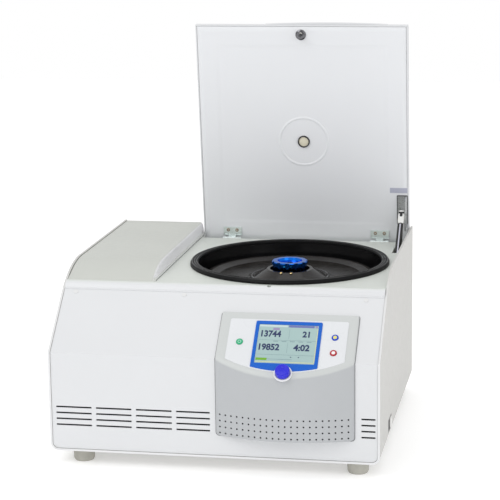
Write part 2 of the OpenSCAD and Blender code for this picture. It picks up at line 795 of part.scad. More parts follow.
module compressor() {
    shell_r = 70;
    color("black") at_depth(system_x, system_d, foot_h + shell_t) {
        translate([-70, -55, 0]) cube([140, 110, 4]);
        for (x = [-55, 55], y = [-40, 40]) translate([x, y, 4]) cylinder(r = 10, h = 16, $fn = bore_fn);
        translate([-70, -55, 20]) cube([140, 110, 3]);
        translate([0, 0, 23]) cylinder(r = shell_r, h = 110);
        translate([0, 0, 133]) cylinder(r1 = shell_r, r2 = 40, h = 24);
        translate([-30, -50, 60]) cube([60, 20, 40]);
        translate([pipe_x - system_x, 0, 140]) cylinder(r = pipe_r + 1, h = 30, $fn = bore_fn);
    }
}

// Finned coil between the compressor and the fan.
module condenser() {
    fins = 30;
    left = -299.5;
    width = 186.6;
    d0 = 480;
    d1 = 515;
    plate = 3;
    bottom = foot_h + 24;
    top = foot_h + 254;
    color("silver") {
        for (i = [0:fins]) box([left + plate + 6 * i, d0, bottom], [left + plate + 0.6 + 6 * i, d1, top]);
        for (row = [0:5]) at_depth(left, (d0 + d1) / 2, foot_h + 44 + 38 * row) rotate([0, 90, 0])
            cylinder(r = 5, h = width, $fn = bore_fn);
        for (x = [left, left + width - plate]) box([x, d0, foot_h + shell_t], [x + plate, d1, top + 2]);
    }
}

module fan_frame() {
    color("black") difference() {
        box([fan_x - 88, 530, foot_h + shell_t], [fan_x + 88, 560, fan_z + 88]);
        at_depth(fan_x, 570, fan_z) rotate([90, 0, 0]) cylinder(r = fan_r + 2, h = 60, $fn = 96);
    }
    color("black") {
        for (a = [45:90:315]) at_depth(fan_x, 534, fan_z) rotate([90, a, 0]) translate([20, -3, 0])
            cube([62, 6, 4]);
        at_depth(fan_x, 534, fan_z) rotate([90, 0, 0]) cylinder(r = 24, h = 4);
        at_depth(fan_x, 546, fan_z) rotate([90, 0, 0]) cylinder(r = 4, h = 14, $fn = bore_fn);
    }
}

module fan_rotor() {
    blades = 7;
    color("dimgray") at_depth(fan_x, 0, fan_z) difference() {
        union() {
            translate([0, 556, 0]) rotate([90, 0, 0]) cylinder(r = 26, h = 20);
            for (i = [0:blades - 1]) rotate([0, i * 360 / blades, 0]) translate([24, 546, 0]) rotate([35, 0, 0])
                translate([0, -1.2, -13]) cube([fan_r - 28, 2.4, 26]);
        }
        translate([0, 547, 0]) rotate([90, 0, 0]) cylinder(r = 4 + fit, h = 30, $fn = bore_fn);
    }
}

module fan_guard() {
    back = rear_d + panel_gap;
    color("silver") {
        for (r = [12:11:fan_r]) at_depth(fan_x, back, fan_z) rotate([90, 0, 0]) tube(r + 1, r - 1, panel_gap);
        for (a = [0:60:120]) at_depth(fan_x, rear_d, fan_z) rotate([90, a, 0]) translate([-fan_r - 5, -1.2, -1])
            cube([2 * fan_r + 10, 2.4, 1]);
    }
}

// Pipe from the compressor up and back to the rear.
module refrigerant_pipe() {
    low = foot_h + shell_t + 170;
    color("darkorange") at_depth(pipe_x, system_d, 0) {
        translate([0, 0, low]) cylinder(r = pipe_r, h = pipe_top - low, $fn = bore_fn);
        translate([0, 0, pipe_top]) {
            sphere(r = pipe_r, $fn = bore_fn);
            rotate([-90, 0, 0]) cylinder(r = pipe_r, h = 247, $fn = bore_fn);
        }
    }
}

base_tray();
side_panel_left();
side_panel_right();
front_panel();
deck();
compressor_cover();
rear_panel();
foot_front_left();
foot_front_right();
foot_back_left();
foot_back_right();
chamber_bowl();
chamber_insulation();
chamber_gasket();
motor_plate();
motor_mounts();
motor();
drive_shaft();
rotor_body();
rotor_lid();
rotor_screws();
rotor_knob();
lid_plate();
lid_foam();
lid_cover();
lid_grip();
port_bezel();
port_window();
label_plate();
lock_bolt();
lock_receiver();
hinge_base_left();
hinge_base_right();
hinge_leaf_left();
hinge_leaf_right();
hinge_screws();
spring_anchor();
spring_rod();
spring_barrel();
spring_bracket();
panel_housing();
keypad();
display_frame();
display_screen();
control_knob();
knob_encoder();
button_start();
button_open();
button_stop();
control_board();
switch_bezel();
power_rocker();
mains_inlet();
compressor();
condenser();
fan_frame();
fan_rotor();
fan_guard();
refrigerant_pipe();
screw_plugs();
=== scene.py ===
"""The looks of a laboratory centrifuge: materials, fine pieces riding on its CAD frame, and the studio."""

import json
import math

import bmesh
import bpy
from mathutils import Matrix, Vector


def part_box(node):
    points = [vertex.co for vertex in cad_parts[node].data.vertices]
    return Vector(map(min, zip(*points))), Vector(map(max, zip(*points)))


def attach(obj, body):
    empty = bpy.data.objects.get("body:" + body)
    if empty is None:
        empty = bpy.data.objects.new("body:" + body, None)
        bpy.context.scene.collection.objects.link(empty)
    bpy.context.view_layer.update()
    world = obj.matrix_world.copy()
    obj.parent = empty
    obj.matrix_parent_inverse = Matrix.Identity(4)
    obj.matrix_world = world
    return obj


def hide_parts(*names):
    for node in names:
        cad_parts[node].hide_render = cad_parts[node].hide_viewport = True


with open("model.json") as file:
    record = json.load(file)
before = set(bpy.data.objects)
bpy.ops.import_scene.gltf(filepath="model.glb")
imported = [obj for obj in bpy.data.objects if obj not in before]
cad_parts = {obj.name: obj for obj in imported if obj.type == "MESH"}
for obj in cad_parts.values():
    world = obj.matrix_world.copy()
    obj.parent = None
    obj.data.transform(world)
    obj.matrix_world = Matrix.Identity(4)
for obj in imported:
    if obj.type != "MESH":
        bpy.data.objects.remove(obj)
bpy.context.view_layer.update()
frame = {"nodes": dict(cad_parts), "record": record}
NODES = frame["nodes"]

# ---- driving sizes, in metres and degrees ----

TILT = math.radians(41.5)  # fascia slope
LEAN = math.radians(7)  # forward lean of the open lid
CREASE_Z = 0.219
CASE_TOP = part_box("side_panel_left")[1].z
CASE_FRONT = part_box("side_panel_left")[0].y
HINGE = Vector((0.0, CASE_FRONT + 0.573, 0.327))
LID_FACE = 0.013  # lid face behind the hinge axis
LEAF_SCREW_S = 0.0178  # leaf screws, along the lid
PANEL_X = 0.1377  # middle of the control panel
BOWL = Vector((0.094, CASE_FRONT + 0.337, 0.331))

SPRING_LOW = Vector((0.296, CASE_FRONT + 0.3397, 0.1933))
SPRING_OPEN, SPRING_BARREL = 0.2966, 0.150  # between the pivots with the lid open, and the barrel alone
SPRING_ANGLE = math.radians(42.035)
SCREEN_TOP_S = 0.078  # top of the screen, up the slope from the crease
KEY_RADIUS = 0.0064
KEY_TOP = 0.0048  # top of the keys over the fascia
EDGE_SHADE_DEPTH = 0.0015  # the housing's painted shade strip lies this far behind the slope and the front

# The camera was fitted to the picture's edges and ellipses.
CAMERA_AT = Vector((0.6765, CASE_FRONT - 3.1887, 1.1099))
CAMERA_YAW, CAMERA_PITCH, CAMERA_ROLL = 10.661, 11.886, -0.716
CAMERA_LENS = 130.89


# ---- node material helpers ----

MIX_FACTOR, MIX_A, MIX_B, MIX_RESULT = 0, 6, 7, 2  # a Mix node's sockets when it mixes colours


class Shader:
    """A Principled material and short calls that add procedural detail to it."""

    def __init__(self, name, color, rough=0.5, metal=0.0, **fixed):
        self.mat = bpy.data.materials.new(name)
        self.mat.use_nodes = True
        self.tree = self.mat.node_tree
        self.bsdf = self.tree.nodes["Principled BSDF"]
        self.color = (*color, 1.0)
        self.rough = rough
        self.bsdf.inputs["Metallic"].default_value = metal
        for key, value in fixed.items():
            self.bsdf.inputs[key.replace("_", " ")].default_value = value
        self.height = None
        self.mat.diffuse_color = self.color

    def node(self, kind, **settings):
        made = self.tree.nodes.new(kind)
        for key, value in settings.items():
            if key in made.inputs:
                made.inputs[key].default_value = value
            else:
                setattr(made, key, value)
        return made

    def link(self, a, b):
        self.tree.links.new(a, b)

    def coords(self, scale=(1, 1, 1)):
        """Object coordinates, which on a CAD node are the row frame's metres."""
        source = self.node("ShaderNodeTexCoord")
        mapping = self.node("ShaderNodeMapping")
        mapping.inputs["Scale"].default_value = scale
        self.link(source.outputs["Object"], mapping.inputs["Vector"])
        return mapping.outputs["Vector"]

    def noise(self, scale, detail=4, stretch=(1, 1, 1), rough=0.55):
        made = self.node("ShaderNodeTexNoise")
        made.inputs["Scale"].default_value = scale
        made.inputs["Detail"].default_value = detail
        made.inputs["Roughness"].default_value = rough
        self.link(self.coords(stretch), made.inputs["Vector"])
        return made.outputs["Fac"]

    def ramp(self, fac, low, high, start=0.3, end=0.7):
        made = self.node("ShaderNodeMapRange")
        made.inputs["From Min"].default_value = start
        made.inputs["From Max"].default_value = end
        made.inputs["To Min"].default_value = low
        made.inputs["To Max"].default_value = high
        self.link(fac, made.inputs["Value"])
        return made.outputs["Result"]

    def mix(self, fac, a, b):
        made = self.node("ShaderNodeMix", data_type="RGBA", blend_type="MIX")
        for value, place in ((fac, MIX_FACTOR), (a, MIX_A), (b, MIX_B)):
            if hasattr(value, "is_output"):
                self.link(value, made.inputs[place])
            else:
                made.inputs[place].default_value = value
        return made.outputs[MIX_RESULT]

    def tint(self, amount=0.05, scale=6.0, detail=3):
        """Slow variation of the base colour, darker by amount."""
        fac = self.ramp(self.noise(scale, detail), 0.0, 1.0)
        dark = tuple(c * (1 - amount) for c in self.color[:3]) + (1.0,)
        self.link(self.mix(fac, self.color, dark), self.bsdf.inputs["Base Color"])
        return self

    def roughness(self, spread=0.06, scale=40.0, stretch=(1, 1, 1)):
        fac = self.ramp(self.noise(scale, 4, stretch), self.rough - spread, self.rough + spread)
        self.link(fac, self.bsdf.inputs["Roughness"])
        return self

    def grain(self, scale, depth, strength=0.3, stretch=(1, 1, 1), detail=3):
        """Fine bump, depth in metres."""
        bump = self.node("ShaderNodeBump")
        bump.inputs["Strength"].default_value = strength
        bump.inputs["Distance"].default_value = depth
        self.link(self.noise(scale, detail, stretch), bump.inputs["Height"])
        if self.height is not None:
            self.link(self.height, bump.inputs["Normal"])
        self.height = bump.outputs["Normal"]
        self.link(self.height, self.bsdf.inputs["Normal"])
        return self


def painted(name, color, rough=0.42, texture=1400, depth=0.00012):
    """Powder coat: fine orange peel, faint tone and gloss variation."""
    made = Shader(name, color, rough, Coat_Weight=0.12, Coat_Roughness=0.3)
    return made.tint(0.025, 4).roughness(0.05, 60).grain(texture, depth, 0.25).mat


def moulded(name, color, rough=0.45, texture=2200, depth=0.00008, tone=0.03, shine=0.35):
    """Moulded plastic with a fine spark-eroded texture."""
    made = Shader(name, color, rough, Specular_IOR_Level=shine)
    return made.tint(tone, 9).roughness(0.05, 90).grain(texture, depth, 0.3).mat


def brushed(name, color, rough=0.32, stretch=(1, 40, 40), depth=0.00005):
    """Metal with fine lines along one axis."""
    made = Shader(name, color, rough, 1.0)
    return made.tint(0.12, 25).roughness(0.1, 60, stretch).grain(90, depth, 0.25, stretch).mat


def film(name, color, rough=0.28):
    """Printed polyester film: smooth, with a very faint waviness."""
    made = Shader(name, color, rough, Specular_IOR_Level=0.22)
    return made.tint(0.02, 14).roughness(0.04, 30).grain(700, 0.00004, 0.15).mat


def rubber(name, color, rough=0.6, shine=0.5):
    made = Shader(name, color, rough, Specular_IOR_Level=shine)
    return made.tint(0.25, 30).roughness(0.12, 80).grain(900, 0.0002, 0.4).mat


CASING_WHITE = (0.685, 0.695, 0.71)
DECK_BEND = (0.122, 0.131)  # where the deck turns into the front, behind the case's front


def deck_paint(name, color, front_color):
    """Deck paint that turns into the casing's white over the bend at the front."""
    made = Shader(name, color, 0.42, Coat_Weight=0.12, Coat_Roughness=0.3)
    made.roughness(0.05, 60).grain(1400, 0.00012, 0.25)
    apart = made.node("ShaderNodeSeparateXYZ")
    made.link(made.coords(), apart.inputs[0])
    bend = made.ramp(apart.outputs[1], 0.0, 1.0, *(CASE_FRONT + depth for depth in DECK_BEND))
    cloud = made.ramp(made.noise(4, 3), 0.0, 1.0)
    dark = tuple(c * 0.975 for c in color) + (1.0,)
    top = made.mix(cloud, made.color, dark)
    made.link(made.mix(bend, (*front_color, 1.0), top), made.bsdf.inputs["Base Color"])
    return made.mat


def painted_light_by_facing(name, axis, toward, away, start, end):
    """Painted light and shade: a satin finish in two shades, a lit one and a shaded one, told apart by how
    far the surface faces along an axis.
    """
    made = Shader(name, toward, 0.45)
    made.roughness(0.05, 90).grain(2200, 0.00008, 0.3)
    apart = made.node("ShaderNodeSeparateXYZ")
    made.link(made.node("ShaderNodeTexCoord").outputs["Normal"], apart.inputs[0])
    # Painted light: this mask picks which faces get the lit shade and which get the shaded one.
    painted_light_mask = made.ramp(apart.outputs[axis], 0.0, 1.0, start, end)
    cloud = made.ramp(made.noise(9, 3), 0.0, 1.0)
    dark = tuple(c * 0.97 for c in away) + (1.0,)
    shade = made.mix(cloud, (*away, 1.0), dark)
    made.link(made.mix(painted_light_mask, shade, made.color), made.bsdf.inputs["Base Color"])
    return made.mat


def glazed(name, color, rough, shine=0.5):
    """Smooth dark lacquer with faint swirl marks."""
    made = Shader(name, color, rough, Specular_IOR_Level=shine)
    return made.tint(0.2, 12).roughness(0.05, 35).grain(260, 0.00004, 0.2).mat


# Each look: the factory that makes it, and what the factory is given.
LOOKS = {
    "casing": (painted, CASING_WHITE),
    # Painted shade: the side panels' faces that look sideways are darker than their faces that look to the
    # front.
    "casing_side": (painted_light_by_facing, 1, (0.555, 0.55, 0.53), (0.74, 0.745, 0.755), -0.75, -0.35),
    "deck_skin": (deck_paint, (0.62, 0.65, 0.61), CASING_WHITE),
    "lid_skin": (painted, (0.76, 0.772, 0.795), 0.5),
    "foot_rubber": (rubber, (0.50, 0.49, 0.44)),
    "stainless": (glazed, (0.006, 0.006, 0.0065), 0.22, 0.5),
    "black_rubber": (rubber, (0.005, 0.005, 0.0055), 0.45, 0.15),
    "foam": (rubber, (0.75, 0.70, 0.55), 0.9),
    "zinc_steel": (brushed, (0.80, 0.86, 0.85), 0.3),
    "ground_steel": (brushed, (0.78, 0.79, 0.80), 0.16, (60, 60, 1)),
    "motor_alloy": (brushed, (0.30, 0.31, 0.32), 0.5),
    "rotor_alloy": (glazed, (0.013, 0.0105, 0.009), 0.2, 0.32),
    "blue_anodised": (brushed, (0.010, 0.18, 0.80), 0.2, (1, 1, 60)),
    "brass_screws": (brushed, (0.78, 0.60, 0.30), 0.25, (1, 1, 1)),
    "black_plastic": (moulded, (0.018, 0.018, 0.02)),
    "cream_window": (moulded, (0.72, 0.68, 0.54), 0.25),
    "label_film": (film, (0.44, 0.45, 0.54)),
    "dark_chrome": (brushed, (0.16, 0.16, 0.17), 0.22, (1, 1, 1)),
    "black_enamel": (painted, (0.012, 0.012, 0.013), 0.3, 800),
    "panel_grey": (moulded, (0.50, 0.525, 0.535), 0.48),
    "keypad_film": (film, (0.71, 0.725, 0.745)),
    "blue_film": (film, (0.010, 0.115, 0.54)),
    "screen": (film, (0.37, 0.505, 0.495), 0.18),
    "blue_plastic": (moulded, (0.022, 0.022, 0.62), 0.28),
    "green_key": (film, (0.035, 0.40, 0.20)),
    "blue_key": (film, (0.02, 0.07, 0.52)),
    "red_key": (film, (0.42, 0.02, 0.03)),
    "circuit_board": (moulded, (0.02, 0.16, 0.05)),
    "white_plastic": (moulded, (0.78, 0.78, 0.76), 0.3),
    "copper_tube": (brushed, (0.72, 0.36, 0.22), 0.28),
    # Painted light: the compressor cover's wall that looks to the right is lighter than its top.
    "cover_paint": (painted_light_by_facing, 0, (0.80, 0.80, 0.82), (0.535, 0.55, 0.515), 0.35, 0.8),
    # Painted shade: near-black for the sheets behind the openings, standing for the dark inside the case.
    "opening_shade_black": (rubber, (0.005, 0.005, 0.006), 0.9, 0.05),
    "aged_screw": (brushed, (0.33, 0.24, 0.17), 0.4, (1, 1, 1)),
    "bracket_steel": (brushed, (0.66, 0.67, 0.68), 0.3, (40, 1, 40)),
    "latch_steel": (brushed, (0.85, 0.83, 0.78), 0.5, (1, 30, 1)),
    # Painted shade: dark grey for the strip round the control housing's edges.
    "edge_shade_grey": (rubber, (0.17, 0.175, 0.18), 0.6),
    # Painted highlight: light metal for the stripe that stands for the barrel's reflection.
    "spring_glint": (brushed, (0.50, 0.50, 0.56), 0.4, (40, 1, 40)),
    "bead_gloss": (glazed, (0.006, 0.006, 0.0065), 0.1),
    "spring_lacquer": (glazed, (0.006, 0.006, 0.006), 0.12),
    # Painted light and shade: the housing's upward slope is lighter than its upright front.
    "housing_grey": (painted_light_by_facing, 2, (0.55, 0.57, 0.565), (0.445, 0.46, 0.475), 0.12, 0.34),
    "key_mint": (film, (0.40, 0.70, 0.55)),
    "key_yellow": (film, (0.75, 0.68, 0.20)),
    "key_white": (film, (0.84, 0.84, 0.84)),
    "screen_ink": (film, (0.035, 0.05, 0.12)),
    "screen_pale": (film, (0.55, 0.66, 0.66)),
    "screen_navy": (film, (0.16, 0.18, 0.42)),
    "screen_violet": (film, (0.32, 0.27, 0.44)),
    "screen_line": (film, (0.19, 0.27, 0.30)),
    "screen_cream": (film, (0.62, 0.66, 0.40)),
    "screen_green": (film, (0.17, 0.40, 0.035)),
}
MATERIALS = {name: factory(name, *settings) for name, (factory, *settings) in LOOKS.items()}

# Nodes that look different from the rest of their slot.
OWN_LOOK = {"spring_bracket": "bracket_steel", "spring_barrel": "spring_lacquer"}


def dress_nodes():
    """Gives each CAD node its material."""
    for entry in frame["record"]["subparts"]:
        node = NODES[entry["node"]]
        mesh = node.data
        mesh.materials.clear()
        mesh.materials.append(MATERIALS[OWN_LOOK.get(entry["node"], entry["material_slot"])])


dress_nodes()

# ---- mesh helpers ----

SLOPE = Matrix.Translation((0, CASE_FRONT, CREASE_Z)) @ Matrix.Rotation(TILT, 4, "X")
LID = Matrix.Translation(HINGE) @ Matrix.Rotation(LEAN, 4, "X")
# On the lid's inner face: X across, Y along the lid, Z out of the face.
LID_INNER = LID @ Matrix.Translation((0, LID_FACE, 0)) @ Matrix.Rotation(math.radians(90), 4, "X")


def add_piece(name, verts, faces, material, body, place=None, sharp=35):
    """A mesh piece that rides on a CAD body, smooth except at edges sharper than the angle."""
    mesh = bpy.data.meshes.new(name)
    mesh.from_pydata([tuple(v) for v in verts], [], faces)
    work = bmesh.new()
    work.from_mesh(mesh)
    bmesh.ops.remove_doubles(work, verts=work.verts, dist=1e-7)
    bmesh.ops.recalc_face_normals(work, faces=work.faces)
    work.to_mesh(mesh)
    work.free()
    return finish_piece(name, mesh, material, body, place, sharp)


def finish_piece(name, mesh, material, body, place=None, sharp=35):
    if place is not None:
        mesh.transform(place)
    mesh.shade_smooth()
    mesh.set_sharp_from_angle(angle=math.radians(sharp))
    mesh.materials.clear()
    mesh.materials.append(MATERIALS[material])
    piece = bpy.data.objects.new(name, mesh)
    bpy.context.collection.objects.link(piece)
    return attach(piece, body)


def grid_faces(rows, cols, start=0):
    """Faces of a grid whose points run along the columns first."""
    faces = []
    for r in range(rows - 1):
        for c in range(cols - 1):
            near = start + r * cols + c
            far = near + cols
            faces.append((near, near + 1, far + 1, far))
    return faces


def band_faces(levels, count):
    """Faces between closed rings of count points each, listed one after another."""
    faces = []
    for level in range(levels - 1):
        low, high = level * count, (level + 1) * count
        for i in range(count):
            j = (i + 1) % count
            faces.append((low + i, low + j, high + j, high + i))
    return faces


def lathe(name, profile, material, body, place, segments=64, sharp=30):
    """A profile of radius and height turned about Z."""
    verts, rings, faces = [], [], []
    for radius, height in profile:
        if radius == 0:
            rings.append([len(verts)] * segments)
            verts.append((0, 0, height))
        else:
            rings.append(list(range(len(verts), len(verts) + segments)))
            angles = [2 * math.pi * i / segments for i in range(segments)]
            verts += [(radius * math.cos(a), radius * math.sin(a), height) for a in angles]
    for low, high in zip(rings, rings[1:]):
        for i in range(segments):
            j = (i + 1) % segments
            corners = list(dict.fromkeys((low[i], low[j], high[j], high[i])))
            if len(corners) > 2:
                faces.append(corners)
    return add_piece(name, verts, faces, material, body, place, sharp)


def soft_outline(width, height, radius, steps=5, center=(0, 0)):
    """Rounded rectangle, counterclockwise."""
    points = []
    for turn, (sx, sy) in enumerate(((1, 1), (-1, 1), (-1, -1), (1, -1))):
        for i in range(steps + 1):
            angle = math.radians(90 * (turn + i / steps))
            points.append((center[0] + sx * (width / 2 - radius) + radius * math.cos(angle),
                           center[1] + sy * (height / 2 - radius) + radius * math.sin(angle)))
    return points


def plate(name, outline, low, high, material, body, place, edge=0.0001):
    """An outline extruded along Z from low to high, with its top edge bevelled."""
    rings = [(outline, low), (outline, high - edge), (shrink(outline, edge), high)]
    count = len(outline)
    verts = [(x, y, height) for ring, height in rings for x, y in ring]
    faces = band_faces(len(rings), count)
    faces.append(tuple(range(count))[::-1])
    faces.append(tuple(range((len(rings) - 1) * count, len(rings) * count)))
    return add_piece(name, verts, faces, material, body, place, 25)


def shrink(outline, amount):
    """The outline's points moved towards its middle, by a fifth more than amount for the corners' sake."""
    cx = sum(p[0] for p in outline) / len(outline)
    cy = sum(p[1] for p in outline) / len(outline)
    moved = []
    for x, y in outline:
        reach = max(math.hypot(x - cx, y - cy), 1e-9)
        keep = max(0.0, 1 - amount * 1.2 / reach)
        moved.append((cx + (x - cx) * keep, cy + (y - cy) * keep))
    return moved


def cut(piece, cylinders, sides=20):
    """Takes cylinders, each a place, a radius and a length, out of a closed piece."""
    work = bmesh.new()
    for place, radius, length in cylinders:
        bmesh.ops.create_cone(work, cap_ends=True, segments=sides, radius1=radius, radius2=radius,
                              depth=length, matrix=place)
    mesh = bpy.data.meshes.new("cutter")
    work.to_mesh(mesh)
    work.free()
    cutter = bpy.data.objects.new("cutter", mesh)
    bpy.context.collection.objects.link(cutter)
    step = piece.modifiers.new("cut", "BOOLEAN")
    step.operation = "DIFFERENCE"
    step.solver = "EXACT"
    step.object = cutter
    apply_modifiers(piece)
    bpy.data.objects.remove(cutter)


def apply_modifiers(piece):
    bpy.context.view_layer.update()
    graph = bpy.context.evaluated_depsgraph_get()
    mesh = bpy.data.meshes.new_from_object(piece.evaluated_get(graph))
    piece.modifiers.clear()
    piece.data = mesh


def smooth_step(t):
    t = min(1.0, max(0.0, t))
    return t * t * (3 - 2 * t)


# ---- control panel housing ----

HOUSING_LOW, HOUSING_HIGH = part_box("panel_housing")
HOUSING_HALF = (HOUSING_HIGH.x - HOUSING_LOW.x) / 2
HOUSING_BULGE = CASE_FRONT - HOUSING_LOW.y
HOUSING_EDGE = 0.002  # bulge left at the sides
HOUSING_PROUD = 0.003  # face over the fascia
HOUSING_WALL = 0.0014
HOUSING_TOP_S = (HOUSING_HIGH.z - CREASE_Z - HOUSING_PROUD * math.cos(TILT)) / math.sin(TILT)
HOUSING_RISE = HOUSING_BULGE - HOUSING_EDGE
HOUSING_ARC = (HOUSING_HALF ** 2 + HOUSING_RISE ** 2) / (2 * HOUSING_RISE)
BURIED = 0.002  # how far the skirts run behind the case's surface
HOUSING_SHOULDER, HOUSING_FOOT, HOUSING_BROW = 0.017, 0.006, 0.0032  # radii of its bends
HOUSING_CORNER_TOP, HOUSING_CORNER_LOW = 0.005, 0.007  # radii of its corners, seen face on
# How far the first and the last rows of points lie from the end that they are next to.
TOP_ROWS = (0, 0, 0.0004, 0.0011, 0.002, 0.0032)
LOW_ROWS = (0, 0, 0.0003, 0.0011, 0.0023, 0.004)
FAR_ROW = 1.0  # stands for any row beyond the corners
HOLE_TOP, HOLE_LEFT, HOLE_RADIUS = 0.1137, 0.016, 0.0017
HOLE_PITCH_X, HOLE_PITCH_Z = 0.0115, 0.0118
HOLE_ROWS, HOLE_COLUMNS = 4, 22
HOLE_SIDES = 16
THROUGH_FRONT, THROUGH_SLOPE = 0.09, 0.03  # lengths of the cutters
KEY_CLEARANCE, DIAL_HOLE = 0.0003, 0.0036


def bulge_at(x, inset=0.0):
    """How far the panel's front stands before the case at x."""
    arc = HOUSING_ARC - inset
    return HOUSING_BULGE - HOUSING_ARC + math.sqrt(max(arc ** 2 - (x - PANEL_X) ** 2, 0.0))


class HousingSection:
    """The housing's outline in Y and Z at one x, moved inward by an inset."""

    def __init__(self, x, inset):
        up, out = Vector((math.cos(TILT), math.sin(TILT))), Vector((-math.sin(TILT), math.cos(TILT)))
        self.up, self.out, self.inset = up, out, inset
        self.corner = Vector((CASE_FRONT, CREASE_Z))
        top_edge = HOUSING_TOP_S - inset
        proud = HOUSING_PROUD - inset
        front = CASE_FRONT - bulge_at(x, inset)
        shoulder, foot, brow = HOUSING_SHOULDER - inset, HOUSING_FOOT - inset, HOUSING_BROW - inset
        start = self.corner + out * proud
        meet = start + up * ((front - start.x) / up.x)
        tangent = shoulder * math.tan((math.pi / 2 - TILT) / 2)
        rows = [(self.corner + up * top_edge - out * BURIED, up)]
        center = self.corner + up * (top_edge - brow) + out * (proud - brow)
        rows += self.bend(center, brow, TILT, TILT + math.pi / 2, 4)
        slope_start = rows[-1][0]
        slope_end = meet + up * tangent
        rows += [(slope_start.lerp(slope_end, i / 10), out) for i in range(1, 10)]
        self.slope_rows = len(rows)
        rows += self.bend(slope_end - out * shoulder, shoulder, TILT + math.pi / 2, math.pi, 9)
        front_start = rows[-1][0]
        low = HOUSING_LOW.z + inset
        front_end = Vector((front, low + foot))
        rows += [(front_start.lerp(front_end, i / 8), Vector((-1, 0))) for i in range(1, 8)]
        rows += self.bend(front_end + Vector((foot, 0)), foot, math.pi, math.pi * 1.5, 5)
        rows.append((Vector((CASE_FRONT + BURIED, low)), Vector((0, -1))))
        self.rows = rows

    @staticmethod
    def bend(center, radius, start, end, steps):
        turned = []
        for i in range(steps + 1):
            angle = start + (end - start) * i / steps
            normal = Vector((math.cos(angle), math.sin(angle)))
            turned.append((center + normal * radius, normal))
        return turned

    def point(self, row, depth):
        """A row's point pushed in by depth, but no deeper than the buried plane."""
        place, normal = self.rows[row]
        if row < self.slope_rows:
            height = (place - self.corner).dot(self.out)
            return place - self.out * min(depth, height + BURIED)
        if normal.y > 0:
            return place - normal * min(depth, HOUSING_PROUD - self.inset + BURIED)
        return Vector((min(place.x + depth, CASE_FRONT + BURIED), place.y))


def housing_half(row, rows, inset):
    """Half the housing's width at a row: narrower round the corners at the top and bottom."""
    back = rows - 1 - row
    from_top = TOP_ROWS[row] if row < len(TOP_ROWS) else FAR_ROW
    from_low = LOW_ROWS[back] if back < len(LOW_ROWS) else FAR_ROW
    half = HOUSING_HALF - inset
    for distance, corner in ((from_top, HOUSING_CORNER_TOP), (from_low, HOUSING_CORNER_LOW)):
        if distance < corner:
            half -= corner - math.sqrt(corner ** 2 - (corner - distance) ** 2)
    return half


def housing_grid(inset):
    """Points of the housing's surface, moved inward by the inset, row by row."""
    across = 34
    edge = 0.003  # radius of the side edges
    rounding = [(edge * (1 - math.cos(a)), math.sin(a)) for a in (math.radians(d) for d in (30, 60, 90))]
    # Each column: which side's edge it is on, how deep it lies, and its share of the width.
    columns = [(-1, 0.0, 1.0)]
    columns += [(-1, depth, share) for depth, share in rounding[::-1]]
    columns += [(0, 0.0, -1 + 2 * i / across) for i in range(across + 1)]
    columns += [(1, depth, share) for depth, share in rounding]
    columns += [(1, 0.0, 1.0)]
    rows = len(HousingSection(PANEL_X, inset).rows)
    points = []
    for row in range(rows):
        half = housing_half(row, rows, inset)
        for index, (side, depth, share) in enumerate(columns):
            if side:
                x = PANEL_X + side * (half - edge + edge * share)
            else:
                x = PANEL_X + share * (half - edge)
            if index in (0, len(columns) - 1):
                depth = math.inf  # down to the buried plane
            place = HousingSection(x, inset).point(row, depth)
            points.append((x, place.x, place.y))
    return points, rows, len(points) // rows


def control_housing():
    """The housing as a thin shell with its perforations and the holes for the keys and the dial."""
    outer, rows, cols = housing_grid(0.0)
    inner = housing_grid(HOUSING_WALL)[0]
    count = len(outer)
    faces = grid_faces(rows, cols) + grid_faces(rows, cols, count)
    rim = list(range(cols))
    rim += [r * cols + cols - 1 for r in range(1, rows)]
    rim += [(rows - 1) * cols + c for c in range(cols - 2, -1, -1)]
    rim += [r * cols for r in range(rows - 2, 0, -1)]
    for a, b in zip(rim, rim[1:] + rim[:1]):
        faces.append((a, b, b + count, a + count))
    made = add_piece("control_housing", outer + inner, faces, "housing_grey", "chassis", None, 40)
    holes = []
    forward = Matrix.Rotation(math.pi / 2, 4, "X")
    for row in range(HOLE_ROWS):
        for col in range(HOLE_COLUMNS):
            center = Vector((HOLE_LEFT + HOLE_PITCH_X * col, CASE_FRONT, HOLE_TOP - HOLE_PITCH_Z * row))
            holes.append((Matrix.Translation(center) @ forward, HOLE_RADIUS, THROUGH_FRONT))
    for key in ("button_start", "button_open", "button_stop"):
        holes.append((slope_place(*slope_center(key)), KEY_RADIUS + KEY_CLEARANCE, THROUGH_SLOPE))
    holes.append((slope_place(*slope_center("control_knob")), DIAL_HOLE, THROUGH_SLOPE))
    cut(made, holes, HOLE_SIDES)
    made.data.set_sharp_from_angle(angle=math.radians(40))
    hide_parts("panel_housing")


def tab_outline(half, near, far, radius, steps=5):
    """Outline about the panel's middle line, square at the near end and rounded at the far end."""
    turn = 1 if far > near else -1
    points = [(PANEL_X - half, near), (PANEL_X + half, near)]
    for side in (1, -1):
        for i in range(steps + 1):
            angle = math.radians(90 * (i / steps if side > 0 else 1 - i / steps))
            points.append((PANEL_X + side * (half - radius + radius * math.cos(angle)),
                           far - turn * radius * (1 - math.sin(angle))))
    return points


